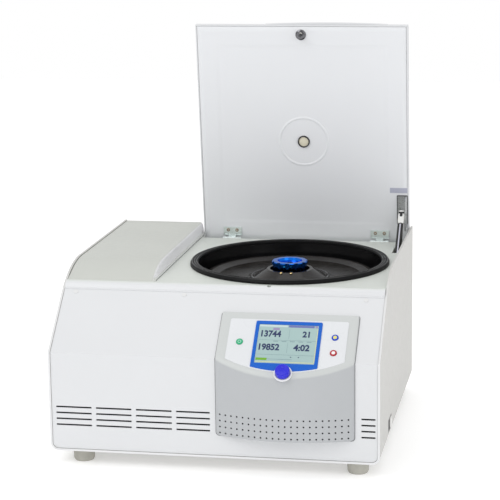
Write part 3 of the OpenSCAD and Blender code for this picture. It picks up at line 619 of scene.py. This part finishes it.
def housing_edge_shade():
    """Thin dark strip showing round the housing on the fascia and on the upright front: painted shade along
    the housing's edges.
    """
    rim = 0.0009
    half = HOUSING_HALF + rim
    back, front = -EDGE_SHADE_DEPTH - 0.0003, -EDGE_SHADE_DEPTH + 0.0004
    upper = tab_outline(half, 0.0, HOUSING_TOP_S + rim, HOUSING_CORNER_TOP)
    made = plate("housing_edge_shade_upper", upper, back, front, "edge_shade_grey", "chassis", SLOPE)
    upright = Matrix.Translation((0, CASE_FRONT, 0)) @ Matrix.Rotation(math.pi / 2, 4, "X")
    lower = tab_outline(half, CREASE_Z, HOUSING_LOW.z - rim, HOUSING_CORNER_LOW)
    made = plate("housing_edge_shade_lower", lower, back, front, "edge_shade_grey", "chassis", upright)


def slope_center(node):
    """Where a node on the slope is centred: across, and up the slope from the crease."""
    low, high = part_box(node)
    middle = SLOPE.inverted() @ ((low + high) / 2)
    return middle.x, middle.y


def slope_place(x, s, out=0.0):
    return SLOPE @ Matrix.Translation((x, s, out))


def pleated_shade_sheet(name, x0, x1, z0, z1, face):
    """Near-black sheet behind an opening, painted shade for the dark inside the case: a zigzag sheet with
    upright folds. face gives its Y at an x.
    """
    pitch, deep, thick = 0.004, 0.003, 0.0006
    count = max(2, round((x1 - x0) / pitch)) * 2
    outer, inner = [], []
    for z in (z0, z1):
        for i in range(count + 1):
            x = x0 + (x1 - x0) * i / count
            y = face(x) + (deep if i % 2 else 0.0)
            outer.append((x, y, z))
            inner.append((x, y + thick, z))
    total = len(outer)
    cols = count + 1
    faces = grid_faces(2, cols) + grid_faces(2, cols, total)
    rim = list(range(cols)) + list(range(2 * cols - 1, cols - 1, -1))
    faces += [(a, b, b + total, a + total) for a, b in zip(rim, rim[1:] + rim[:1])]
    made = add_piece(name, outer + inner, faces, "opening_shade_black", "chassis", None, 20)


# ---- raised compressor cover ----

COVER_LOW, COVER_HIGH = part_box("compressor_cover")
HOOD_GAP = 0.0014  # dark joint between the cover and the deck; the black sheet in it is painted shade for the shadow in the gap
SHOULDER_RADIUS = 0.210  # big arc of the case's side outline


def side_height(depth, inset=0.001):
    """Height of the case's side outline at a depth behind the front plane, moved in by the inset."""
    rise = CASE_TOP - CREASE_Z
    center = Vector(((rise - SHOULDER_RADIUS * (1 - math.cos(TILT))) / math.tan(TILT)
                     + SHOULDER_RADIUS * math.sin(TILT), CASE_TOP - SHOULDER_RADIUS))
    radius = SHOULDER_RADIUS - inset
    if depth >= center.x:
        return CASE_TOP - inset
    if depth > center.x - radius * math.sin(TILT):
        return center.y + math.sqrt(radius ** 2 - (center.x - depth) ** 2)
    return CREASE_Z + depth * math.tan(TILT) - inset / math.cos(TILT)


def compressor_hood():
    """Cover with rounded top edges, swept along the side outline, and a lip along its right foot."""
    deck = BOWL.z + HOOD_GAP
    front, back = COVER_LOW.y - CASE_FRONT, COVER_HIGH.y - CASE_FRONT
    step, back_bend = 0.0015, 0.004
    depths = [front + 0.0001]
    depths += [front + step * i for i in (1, 2, 3, 5, 8, 12, 17, 23, 30, 38, 47, 56, 66, 78, 92)]
    depths += [depths[-1] + (back - back_bend - depths[-1]) * i / 8 for i in range(1, 9)]
    lip = 0.0035
    verts = []

    def section(depth, top):
        """Points across the cover at one depth, from its left foot over the top to the lip."""
        foot = BOWL.z + HOOD_GAP * smooth_step((depth - front) / 0.004)
        room = max(top - foot, 0.0008)
        big, small, skirt = min(0.0055, 0.6 * room), min(0.003, 0.5 * room), min(0.003, 0.3 * room)
        y = CASE_FRONT + depth
        ring = [(COVER_LOW.x, y, foot)]
        for i in range(5):
            a = math.radians(22.5 * i)
            ring.append((COVER_LOW.x + small * (1 - math.cos(a)), y, top - small * (1 - math.sin(a))))
        width = COVER_HIGH.x - COVER_LOW.x - big - small
        ring += [(COVER_LOW.x + small + width * i / 6, y, top) for i in range(1, 6)]
        for i in range(9):
            a = math.radians(90 - 78 * i / 8)
            ring.append((COVER_HIGH.x - 0.0025 - big * (1 - math.cos(a)), y, top - big * (1 - math.sin(a))))
        ring.append((COVER_HIGH.x - 0.0003, y, foot + skirt))
        ring.append((COVER_HIGH.x + 0.6 * lip, y, foot + 0.5 * skirt + 0.0006))
        ring.append((COVER_HIGH.x + 0.7 * lip, y, foot + 0.0004))
        ring.append((COVER_HIGH.x + 0.6 * lip, y, foot))
        return ring

    rings = [section(depth, side_height(depth)) for depth in depths]
    for drop, depth in ((0.0008, back - 0.0024), (0.0025, back - 0.0006), (0.005, back)):
        rings.append(section(depth, side_height(depth) - drop))
    rings.append([(x, y, deck) for x, y, _ in rings[-1]])
    rings.insert(0, [(x, y, BOWL.z) for x, y, _ in rings[0]])
    cols = len(rings[0])
    for ring in rings:
        verts += ring
    faces = grid_faces(len(rings), cols)
    left_foot = [r * cols for r in range(len(rings))]
    faces.append(tuple(left_foot + [start + cols - 1 for start in left_foot[::-1]]))
    made = add_piece("compressor_hood", verts, faces, "cover_paint", "chassis", None, 32)
    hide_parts("compressor_cover")
    # Painted shade: a black sheet fills the gap under the cover and stands for the shadow in it.
    wide, deep = COVER_HIGH.x - COVER_LOW.x + 0.0008, back - front - 0.006
    gap_shade_outline = soft_outline(wide, deep, 0.004, center=(COVER_LOW.x + wide / 2, COVER_LOW.y + 0.005 + deep / 2))
    made = plate("hood_gap_shade", gap_shade_outline, BOWL.z, deck, "black_rubber", "chassis", Matrix.Identity(4), 0.0002)


# ---- lid ----

PORT_LOW, PORT_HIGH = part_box("port_window")
PORT_AT = LID_INNER.inverted() @ ((PORT_LOW + PORT_HIGH) / 2)


def lid_inner_skin():
    """Pressed inner sheet: a flat border, a soft fold to the sunk middle and a ring round the view port."""
    corners = [LID_INNER.inverted() @ v.co for v in NODES["lid_plate"].data.vertices]
    x0, x1 = min(c.x for c in corners), max(c.x for c in corners)
    s0, s1 = min(c.y for c in corners), max(c.y for c in corners)
    s1 += 0.004  # up under the grip
    sunk, port_hole = -0.0006, 0.0128
    ring_center, ring_half, ring_high = 0.051, 0.003, 0.0010
    fold_inner, fold_step = 0.046, 0.0015
    # Each loop: round the port at a radius, or along the edge at a distance from it, and its height.
    loops = [("port", port_hole, sunk - 0.001), ("port", port_hole, sunk), ("port", 0.030, sunk)]
    loops += [("port", ring_center - ring_half - gap, sunk) for gap in (0.0012, 0.0004)]
    for i in range(9):
        turn = math.pi * i / 8
        radius, height = ring_center - ring_half * math.cos(turn), sunk + ring_high * math.sin(turn) ** 2
        loops.append(("port", radius, height))
    loops += [("port", ring_center + ring_half + gap, sunk) for gap in (0.0004, 0.0012)]
    loops += [("port", 0.075, sunk), ("edge", 0.049, sunk), ("edge", 0.0475, sunk)]
    loops += [("edge", fold_inner - fold_step * i, sunk * (1 - smooth_step(i / 6))) for i in range(7)]
    loops += [("edge", size, 0.0) for size in (0.036, 0.0345, 0.012, 0.0008)]
    loops.append(("edge", 0.0, -0.0008))
    angles = sorted({round(2 * math.pi * i / 160, 6) for i in range(160)}
                    | {round(math.atan2(s - PORT_AT.y, x - PORT_AT.x) % (2 * math.pi), 6)
                       for x in (x0, x1) for s in (s0, s1)})
    verts = []
    for kind, size, height in loops:
        for angle in angles:
            c, s = math.cos(angle), math.sin(angle)
            reach = size
            if kind == "edge":
                reach = min(reach_to(PORT_AT.x, c, x0 + size, x1 - size),
                            reach_to(PORT_AT.y, s, s0 + size, s1 - size))
            verts.append((PORT_AT.x + reach * c, PORT_AT.y + reach * s, height))
    faces = band_faces(len(loops), len(angles))
    made = add_piece("lid_inner_skin", verts, faces, "lid_skin", "lid", LID_INNER, 60)
    thick = made.modifiers.new("thickness", "SOLIDIFY")
    thick.thickness = 0.0009
    thick.offset = -1
    apply_modifiers(made)
    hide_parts("lid_plate")


def reach_to(start, slope, low, high):
    """How far a ray that starts at start runs before it meets low or high, along one axis."""
    if abs(slope) <= 1e-9:
        return math.inf
    return ((high if slope > 0 else low) - start) / slope


def view_port():
    """Round window: a cream dome in a thin dark ring; the ring is a real bezel, and its dark grey is
    painted shade for the thin shadow round the window.
    """
    place = LID_INNER @ Matrix.Translation((PORT_AT.x, PORT_AT.y, 0))
    ring = [(0.0104, -0.004), (0.0104, 0.0012), (0.0108, 0.0017), (0.0116, 0.0017), (0.0122, 0.0010),
            (0.0123, -0.004)]
    # Painted shade: the ring's dark grey stands for the thin shadow round the window.
    made = lathe("port_ring", ring + ring[:1], "dark_chrome", "lid", place, 72)
    dome = [(0, 0.0006), (0.004, 0.00055), (0.008, 0.0003), (0.0103, -0.0002), (0.0103, -0.003),
            (0, -0.003)]
    made = lathe("port_glass", dome, "cream_window", "lid", place, 72)
    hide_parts("port_window")


BOLT_FACE = 0.0064  # face of the lock bolt over the lid's inner face
TONGUE_TURN = -28


def lock_details():
    """The tongue on the face of the lock bolt."""
    low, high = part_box("lock_bolt")
    at = LID_INNER.inverted() @ ((low + high) / 2)
    place = LID_INNER @ Matrix.Translation((at.x, at.y, BOLT_FACE))
    turn = place @ Matrix.Rotation(math.radians(TONGUE_TURN), 4, "Z")
    made = plate("lock_tongue", soft_outline(0.0060, 0.0140, 0.0028, center=(0, -0.0024)), -0.0003, 0.0018,
                 "latch_steel", "lid", turn, 0.0006)


def hinge_details():
    """Recessed screw heads on the hinge leaves."""
    head = [(0, 0.0034), (0.0011, 0.0034), (0.0013, 0.0047), (0.0030, 0.0047), (0.0037, 0.0041),
            (0.0038, 0.003)]
    for index, screw in enumerate(hinge_screw_places()):
        place = LID_INNER @ Matrix.Translation((*screw, 0))
        made = lathe(f"hinge_screw_{index}", head, "aged_screw", "lid", place, 32)


def hinge_screw_places():
    """Where the leaf screws stand on the lid: two on each leaf."""
    places = []
    for node in ("hinge_leaf_left", "hinge_leaf_right"):
        low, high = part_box(node)
        middle = LID_INNER.inverted() @ Vector(((low.x + high.x) / 2, low.y, high.z))
        places += [(middle.x + side * 0.0095, LEAF_SCREW_S) for side in (-1, 1)]
    return places


def spring_end():
    """End fitting, a black slot that is painted shade in the fitting's eye, a painted highlight stripe and
    collar of the gas spring, and the backing of its bracket.
    """
    axis = Vector((0, math.cos(SPRING_ANGLE), math.sin(SPRING_ANGLE)))
    pivot = SPRING_LOW + axis * SPRING_OPEN
    side = Vector((1, 0, 0))
    face = side.cross(axis)
    place = Matrix((side, axis, face)).transposed().to_4x4()
    place.translation = pivot
    # Each plate: its width and length, corner radius, middle along the spring, faces, edge, look and slot.
    plates = {"spring_fitting": (0.0124, 0.035, 0.005, -0.0100, -0.0066, 0.0066, 0.0012, "white_plastic",
                                 "white_plastic"),
              # Painted shade: a black plate stands for the shade in the fitting's eye.
              "spring_eye_shade": (0.0056, 0.0125, 0.0026, -0.004, 0.006, 0.0071, 0.0002, "black_plastic",
                              "black_plastic"),
              # Painted highlight: a light stripe along the glossy barrel stands for its reflection.
              "spring_glint_stripe": (0.0026, 0.118, 0.001, -0.088, 0.0062, 0.0067, 0.0001, "spring_glint",
                                "ground_steel")}
    for name, (wide, long, corner, middle, low, high, edge, look, slot) in plates.items():
        outline = soft_outline(wide, long, corner, center=(0, middle))
        plate(name, outline, low, high, look, "gas_barrel", place, edge)
    backing = soft_outline(0.023, 0.063, 0.002, center=(SPRING_LOW.x, 0.071))
    made = plate("bracket_backing", backing, 0.0001, 0.0012, "black_plastic", "lid", LID_INNER, 0.0003)
    collar = [(0.0066, -0.004), (0.0074, -0.0035), (0.0074, 0.0035), (0.0066, 0.004)]
    along = axis.to_track_quat("Z", "Y").to_matrix().to_4x4()
    mouth = Matrix.Translation(pivot - axis * (SPRING_BARREL - 0.006)) @ along
    made = lathe("spring_collar", collar, "black_plastic", "gas_barrel", mouth, 32)


# ---- screen, keys and dial ----

SCREEN_LOW, SCREEN_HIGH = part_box("display_screen")
SCREEN_SIZE = Vector((SCREEN_HIGH.x - SCREEN_LOW.x, 0.086))
SCREEN_OUT = 0.0043  # face of the screen over the fascia
INK, INK_EDGE = 0.00012, 0.00003  # thickness of what the screen shows, and its bevel
LETTER_DEPTH, LETTER_WEIGHT = 0.02, 0.034  # on the built-in font, in its own units


def screen_point(u, v):
    """Across and up the slope for a place on the screen: u from the left, v down from the top, 0 to 1."""
    return SCREEN_LOW.x + u * SCREEN_SIZE.x, SCREEN_TOP_S - v * SCREEN_SIZE.y


def screen_bar(name, u0, u1, v0, v1, material, radius=0.0003):
    a, b = screen_point(u0, v1), screen_point(u1, v0)
    outline = soft_outline(b[0] - a[0], b[1] - a[1], min(radius, (b[0] - a[0]) / 2.1, (b[1] - a[1]) / 2.1),
                           center=((a[0] + b[0]) / 2, (a[1] + b[1]) / 2))
    made = plate(name, outline, SCREEN_OUT, SCREEN_OUT + INK, material, "chassis", SLOPE, INK_EDGE)


def screen_number(name, text, u0, u1, v0, v1):
    """Digits drawn with the built-in font, fitted into their box."""
    curve = bpy.data.curves.new(name, "FONT")
    curve.body = text
    curve.offset = LETTER_WEIGHT
    curve.resolution_u = 4
    curve.extrude = LETTER_DEPTH
    holder = bpy.data.objects.new(name, curve)
    bpy.context.collection.objects.link(holder)
    bpy.context.view_layer.update()
    mesh = bpy.data.meshes.new_from_object(holder.evaluated_get(bpy.context.evaluated_depsgraph_get()))
    bpy.data.objects.remove(holder)
    xs, ys = [v.co.x for v in mesh.vertices], [v.co.y for v in mesh.vertices]
    a, b = screen_point(u0, v1), screen_point(u1, v0)
    scale_x, scale_y = (b[0] - a[0]) / (max(xs) - min(xs)), (b[1] - a[1]) / (max(ys) - min(ys))
    fit = Matrix.Translation((a[0], a[1], SCREEN_OUT + INK))
    fit = fit @ Matrix.Diagonal((scale_x, scale_y, INK / LETTER_DEPTH, 1))
    mesh.transform(fit @ Matrix.Translation((-min(xs), -min(ys), 0)))
    made = finish_piece(name, mesh, "screen_ink", "chassis", SLOPE, 30)


def screen_content():
    """What the display shows: four readings, dividers, a status bar and a progress bar."""
    screen_number("reading_speed", "13744", 0.05, 0.385, 0.155, 0.325)
    screen_number("reading_temperature", "21", 0.745, 0.865, 0.155, 0.31)
    screen_number("reading_force", "19852", 0.04, 0.385, 0.50, 0.67)
    screen_number("reading_time", "4:02", 0.62, 0.89, 0.50, 0.665)
    screen_bar("status_left", 0.005, 0.48, 0.012, 0.058, "screen_pale")
    screen_bar("status_right", 0.50, 0.93, 0.008, 0.062, "screen_navy")
    screen_bar("status_mark", 0.945, 0.985, 0.008, 0.062, "screen_violet")
    screen_bar("value_tag", 0.24, 0.35, 0.082, 0.142, "screen_violet", 0.0008)
    dividers = [(0.52, 0.5235, 0.10, 0.36, "screen_line"), (0.515, 0.5185, 0.45, 0.72, "screen_line"),
                (0.02, 0.98, 0.40, 0.4045, "screen_line"), (0.02, 0.98, 0.775, 0.7795, "screen_line"),
                (0.02, 0.98, 0.955, 0.972, "screen_cream")]
    for index, divider in enumerate(dividers):
        screen_bar(f"divider_{index}", *divider, 0.0001)
    for index in range(5):
        left = 0.27 + 0.14 * index
        screen_bar(f"caption_{index}", left, left + 0.08, 0.425, 0.437, "screen_line", 0.0002)
    screen_bar("edge_glow", 0.984, 0.998, 0.07, 0.97, "screen_cream", 0.0002)
    screen_bar("progress", 0.015, 0.20, 0.865, 0.925, "screen_green", 0.0004)
    screen_bar("progress_track", 0.20, 0.62, 0.888, 0.896, "screen_line", 0.0002)
    half = 0.0014
    for index, u in enumerate((0.60, 0.73)):
        x, s = screen_point(u, 0.83)
        arrow = [(x - half, s + half), (x - half, s - half), (x + half, s)]
        made = plate(f"arrow_{index}", arrow, SCREEN_OUT, SCREEN_OUT + INK, "screen_ink", "chassis", SLOPE,
                     INK_EDGE)


def key_caps():
    """A domed cap on each key with its own mark, moving with the key."""
    # Each key: its body, the looks of its cap and its mark, and the mark's inner and outer radius.
    marks = {"start": ("start_key", "green_key", "key_mint", 0.0022, 0.0034),
             "open": ("open_key", "blue_key", "key_yellow", 0.0, 0.0036),
             "stop": ("stop_key", "red_key", "key_white", 0.0, 0.0035)}
    cap = [(0, 0.0004), (0.003, 0.00038), (0.005, 0.0002), (KEY_RADIUS - 0.0004, -0.0001),
           (KEY_RADIUS - 0.00005, -0.0006)]
    mark_top = 0.00052
    for name, (body, base, mark, inner, outer) in marks.items():
        place = slope_place(*slope_center(f"button_{name}"), KEY_TOP)
        made = lathe(f"{name}_cap", cap, base, body, place, 48)
        if inner:
            symbol = [(inner, 0.0003), (inner, mark_top), (outer, mark_top), (outer, 0.0003)]
        else:
            symbol = [(0, 0.00054), (outer - 0.0004, mark_top), (outer, 0.00042), (outer, 0.0001)]
        made = lathe(f"{name}_mark", symbol, mark, body, place, 40)


def dial():
    """Turned dial with a rounded rim, a dished face and a finger dimple, in a pale ring on the panel."""
    x, s = slope_center("control_knob")
    low, high, radius = 0.0042, 0.0162, 0.0135
    stem, stem_low, rim = 0.003, -0.005, 0.002
    profile = [(0, stem_low), (stem, stem_low), (stem, low), (radius - 0.001, low),
               (radius - 0.0002, low + 0.0008), (radius, low + 0.002)]
    for i in range(7):
        turn = math.radians(15 * i)
        profile.append((radius - rim + rim * math.cos(turn), high - rim + rim * math.sin(turn)))
    profile += [(radius - 0.004, high - 0.0003), (0.006, high - 0.0009), (0, high - 0.0011)]
    made = lathe("dial_knob", profile, "blue_plastic", "dial", slope_place(x, s), 96, 40)
    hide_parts("control_knob")
    dimple = [(0.0034, 0.0), (0.0031, 0.0004), (0.0026, 0.0002), (0, -0.0004)]
    dimple_place = slope_place(x, s + 0.0075, high - 0.0007)
    made = lathe("dial_dimple", dimple, "blue_plastic", "dial", dimple_place, 32)
    ring = [(0.0146, 0.0028), (0.0146, 0.0049), (0.0150, 0.0053), (0.0166, 0.0053), (0.0171, 0.0048),
            (0.0171, 0.0028)]
    made = lathe("dial_ring", ring + ring[:1], "key_white", "chassis", slope_place(x, s), 96)


# ---- chamber ----

def rotor_details():
    """Bright ring round the foot of the rotor lid's cone, and the two domed screws on its front."""
    middle = Matrix.Translation((BOWL.x, BOWL.y, 0))
    ring = [(0.0756, 0.3053), (0.0758, 0.3060), (0.0766, 0.3065), (0.0776, 0.3065), (0.0784, 0.3060),
            (0.0786, 0.3053)]
    made = lathe("cone_ring", ring + ring[:1], "dark_chrome", "rotor", middle, 160)
    head = [(0, 0.0006), (0.0008, 0.0006), (0.0009, 0.0016), (0.0017, 0.0013), (0.0024, 0.0006),
            (0.0025, -0.0006)]
    screw_x, screw_y, screw_z, screw_tilt = 0.010, -0.0475, 0.3198, 0.45
    for index, side in enumerate((-1, 1)):
        place = Matrix.Translation((BOWL.x + side * screw_x, BOWL.y + screw_y, screw_z))
        place = place @ Matrix.Rotation(screw_tilt, 4, "X")
        made = lathe(f"rotor_screw_head_{index}", head, "brass_screws", "rotor", place, 24)


def rocker_cap():
    """Dark near half, a painted shadow where the rocker lies in shade, and rounded white far half of the
    power rocker.
    """
    low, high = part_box("power_rocker")
    wide, tall = 0.55 * (high.y - low.y), high.z - low.z - 0.003
    middle = high.y - 0.001 - wide / 2
    # X of the pieces runs along the case, Y up and Z out of its right side.
    place = Matrix(((0, 0, 1, high.x), (1, 0, 0, middle), (0, 1, 0, (low.z + high.z) / 2), (0, 0, 0, 1)))
    # Painted shadow: this black plate stands for the shade over the rocker's near half.
    near = place @ Matrix.Translation((low.y + 0.0008 + 0.19 * (high.y - low.y) - middle, 0, 0))
    made = plate("rocker_shadow_half", soft_outline(0.38 * (high.y - low.y), tall, 0.002), -0.0005, 0.0014,
                 "black_plastic", "rocker", near, 0.0006)
    made = plate("rocker_cap", soft_outline(wide, tall, 0.004), -0.0005, 0.0036, "white_plastic", "rocker",
                 place, 0.002)


def fascia_bead():
    """Painted bead closing the joint between the fascia and the deck's front bend."""
    low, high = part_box("deck")
    depth = low.y - CASE_FRONT
    s = depth / math.cos(TILT)
    bead = soft_outline(high.x - low.x, 0.0046, 0.0015, center=((low.x + high.x) / 2, s - 0.0008))
    made = plate("fascia_bead", bead, -0.0024, -0.0006, "casing", "chassis", SLOPE, 0.0005)


def gasket_teeth():
    """Fine teeth round the inside of the gasket, under its rim, and three beads on top of it."""
    low = BOWL.z + 0.0017
    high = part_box("chamber_gasket")[1].z - 0.003
    count, deep, radius = 220, 0.0012, 0.1851
    verts, faces = [], []
    for height in (low, high):
        for i in range(count * 2):
            r = radius - (deep if i % 2 else 0.0)
            angle = math.pi * i / count
            verts.append((BOWL.x + r * math.cos(angle), BOWL.y + r * math.sin(angle), height))
        for i in range(count * 2):
            angle = math.pi * i / count
            r = radius + 0.001
            verts.append((BOWL.x + r * math.cos(angle), BOWL.y + r * math.sin(angle), height))
    ring = count * 2
    for i in range(ring):
        j = (i + 1) % ring
        for a, b in ((0, 2), (2, 3), (0, 1), (1, 3)):  # toothed, top, bottom and outer faces
            faces.append((a * ring + i, a * ring + j, b * ring + j, b * ring + i))
    made = add_piece("gasket_teeth", verts, faces, "black_rubber", "chassis", None, 20)
    middle = Matrix.Translation((BOWL.x, BOWL.y, 0))
    bead_z, bead_radius = 0.3386, 0.0008
    turns = [math.radians(a) for a in range(0, 361, 40)]
    for where, r in (("inner", 0.1868), ("middle", 0.1916), ("outer", 0.1965)):
        bead = [(r + bead_radius * math.cos(a), bead_z + bead_radius * math.sin(a)) for a in turns]
        made = lathe(f"gasket_bead_{where}", bead, "bead_gloss", "chassis", middle, 220)


def shade_behind_openings():
    """Near-black pleated sheets behind the front slots and behind the housing's perforations: painted shade
    for the dark inside the case.
    """
    def behind_panel(x):
        return CASE_FRONT + 0.0022

    def behind_housing(x):
        return CASE_FRONT - bulge_at(x) + 0.0008

    pleated_shade_sheet("opening_shade_left", -0.306, 0.004, 0.043, 0.123, behind_panel)
    pleated_shade_sheet("opening_shade_right", 0.272, 0.307, 0.043, 0.123, behind_panel)
    pleated_shade_sheet("opening_shade_middle", 0.012, 0.262, 0.0765, 0.122, behind_housing)


control_housing()
housing_edge_shade()
shade_behind_openings()
compressor_hood()
lid_inner_skin()
view_port()
lock_details()
hinge_details()
spring_end()
screen_content()
key_caps()
dial()
gasket_teeth()
rotor_details()
fascia_bead()
rocker_cap()

# ---- studio ----

def studio():
    """White floor and surroundings, which the camera sees at full white, and three soft lights."""
    floor = bpy.data.meshes.new("floor")
    size = 6.0
    corners = [(-size, -size, 0), (size, -size, 0), (size, size, 0), (-size, size, 0)]
    floor.from_pydata(corners, [], [(0, 1, 2, 3)])
    paper = Shader("floor_paper", (0.93, 0.93, 0.93), 0.7,
                   Emission_Color=(1.0, 1.0, 1.0, 1.0), Emission_Strength=0.28)
    floor.materials.append(paper.tint(0.01, 2).grain(300, 0.0001, 0.1).mat)
    piece = bpy.data.objects.new("floor", floor)
    bpy.context.collection.objects.link(piece)

    world = bpy.data.worlds.new("studio")
    world.use_nodes = True
    tree = world.node_tree
    sky = tree.nodes["Background"]
    sky.inputs["Color"].default_value = (1.0, 1.0, 1.0, 1.0)
    sky.inputs["Strength"].default_value = 0.80
    backdrop = tree.nodes.new("ShaderNodeBackground")
    backdrop.inputs["Color"].default_value = (1.0, 1.0, 1.0, 1.0)
    backdrop.inputs["Strength"].default_value = 1.0
    rays, choose = tree.nodes.new("ShaderNodeLightPath"), tree.nodes.new("ShaderNodeMixShader")
    tree.links.new(rays.outputs["Is Camera Ray"], choose.inputs[0])
    tree.links.new(sky.outputs[0], choose.inputs[1])
    tree.links.new(backdrop.outputs[0], choose.inputs[2])
    tree.links.new(choose.outputs[0], tree.nodes["World Output"].inputs["Surface"])
    bpy.context.scene.world = world

    area_light("key", (-1.6, -2.2, 2.6), (0, 0, 0.25), 1.8, 28)
    area_light("fill", (2.4, -2.4, 1.6), (0, 0, 0.25), 2.0, 10)
    area_light("top", (0.1, 0.6, 3.0), (0, 0.1, 0.3), 2.2, 13)


def area_light(name, place, target, size, power):
    light = bpy.data.lights.new(name, "AREA")
    light.size = size
    light.energy = power
    lamp = bpy.data.objects.new(name, light)
    lamp.location = place
    lamp.rotation_mode = "QUATERNION"
    lamp.rotation_quaternion = (Vector(target) - Vector(place)).to_track_quat("-Z", "Y")
    bpy.context.collection.objects.link(lamp)


def camera():
    data = bpy.data.cameras.new("camera")
    data.lens = CAMERA_LENS
    data.sensor_width = 36
    data.clip_end = 50
    made = bpy.data.objects.new("camera", data)
    yaw = Matrix.Rotation(math.radians(CAMERA_YAW), 4, "Z")
    pitch = Matrix.Rotation(math.radians(90 - CAMERA_PITCH), 4, "X")
    roll = Matrix.Rotation(math.radians(CAMERA_ROLL), 4, "Z")
    made.matrix_world = Matrix.Translation(CAMERA_AT) @ yaw @ pitch @ roll
    bpy.context.collection.objects.link(made)
    bpy.context.scene.camera = made


studio()
camera()
bpy.context.scene.view_settings.view_transform = "Standard"
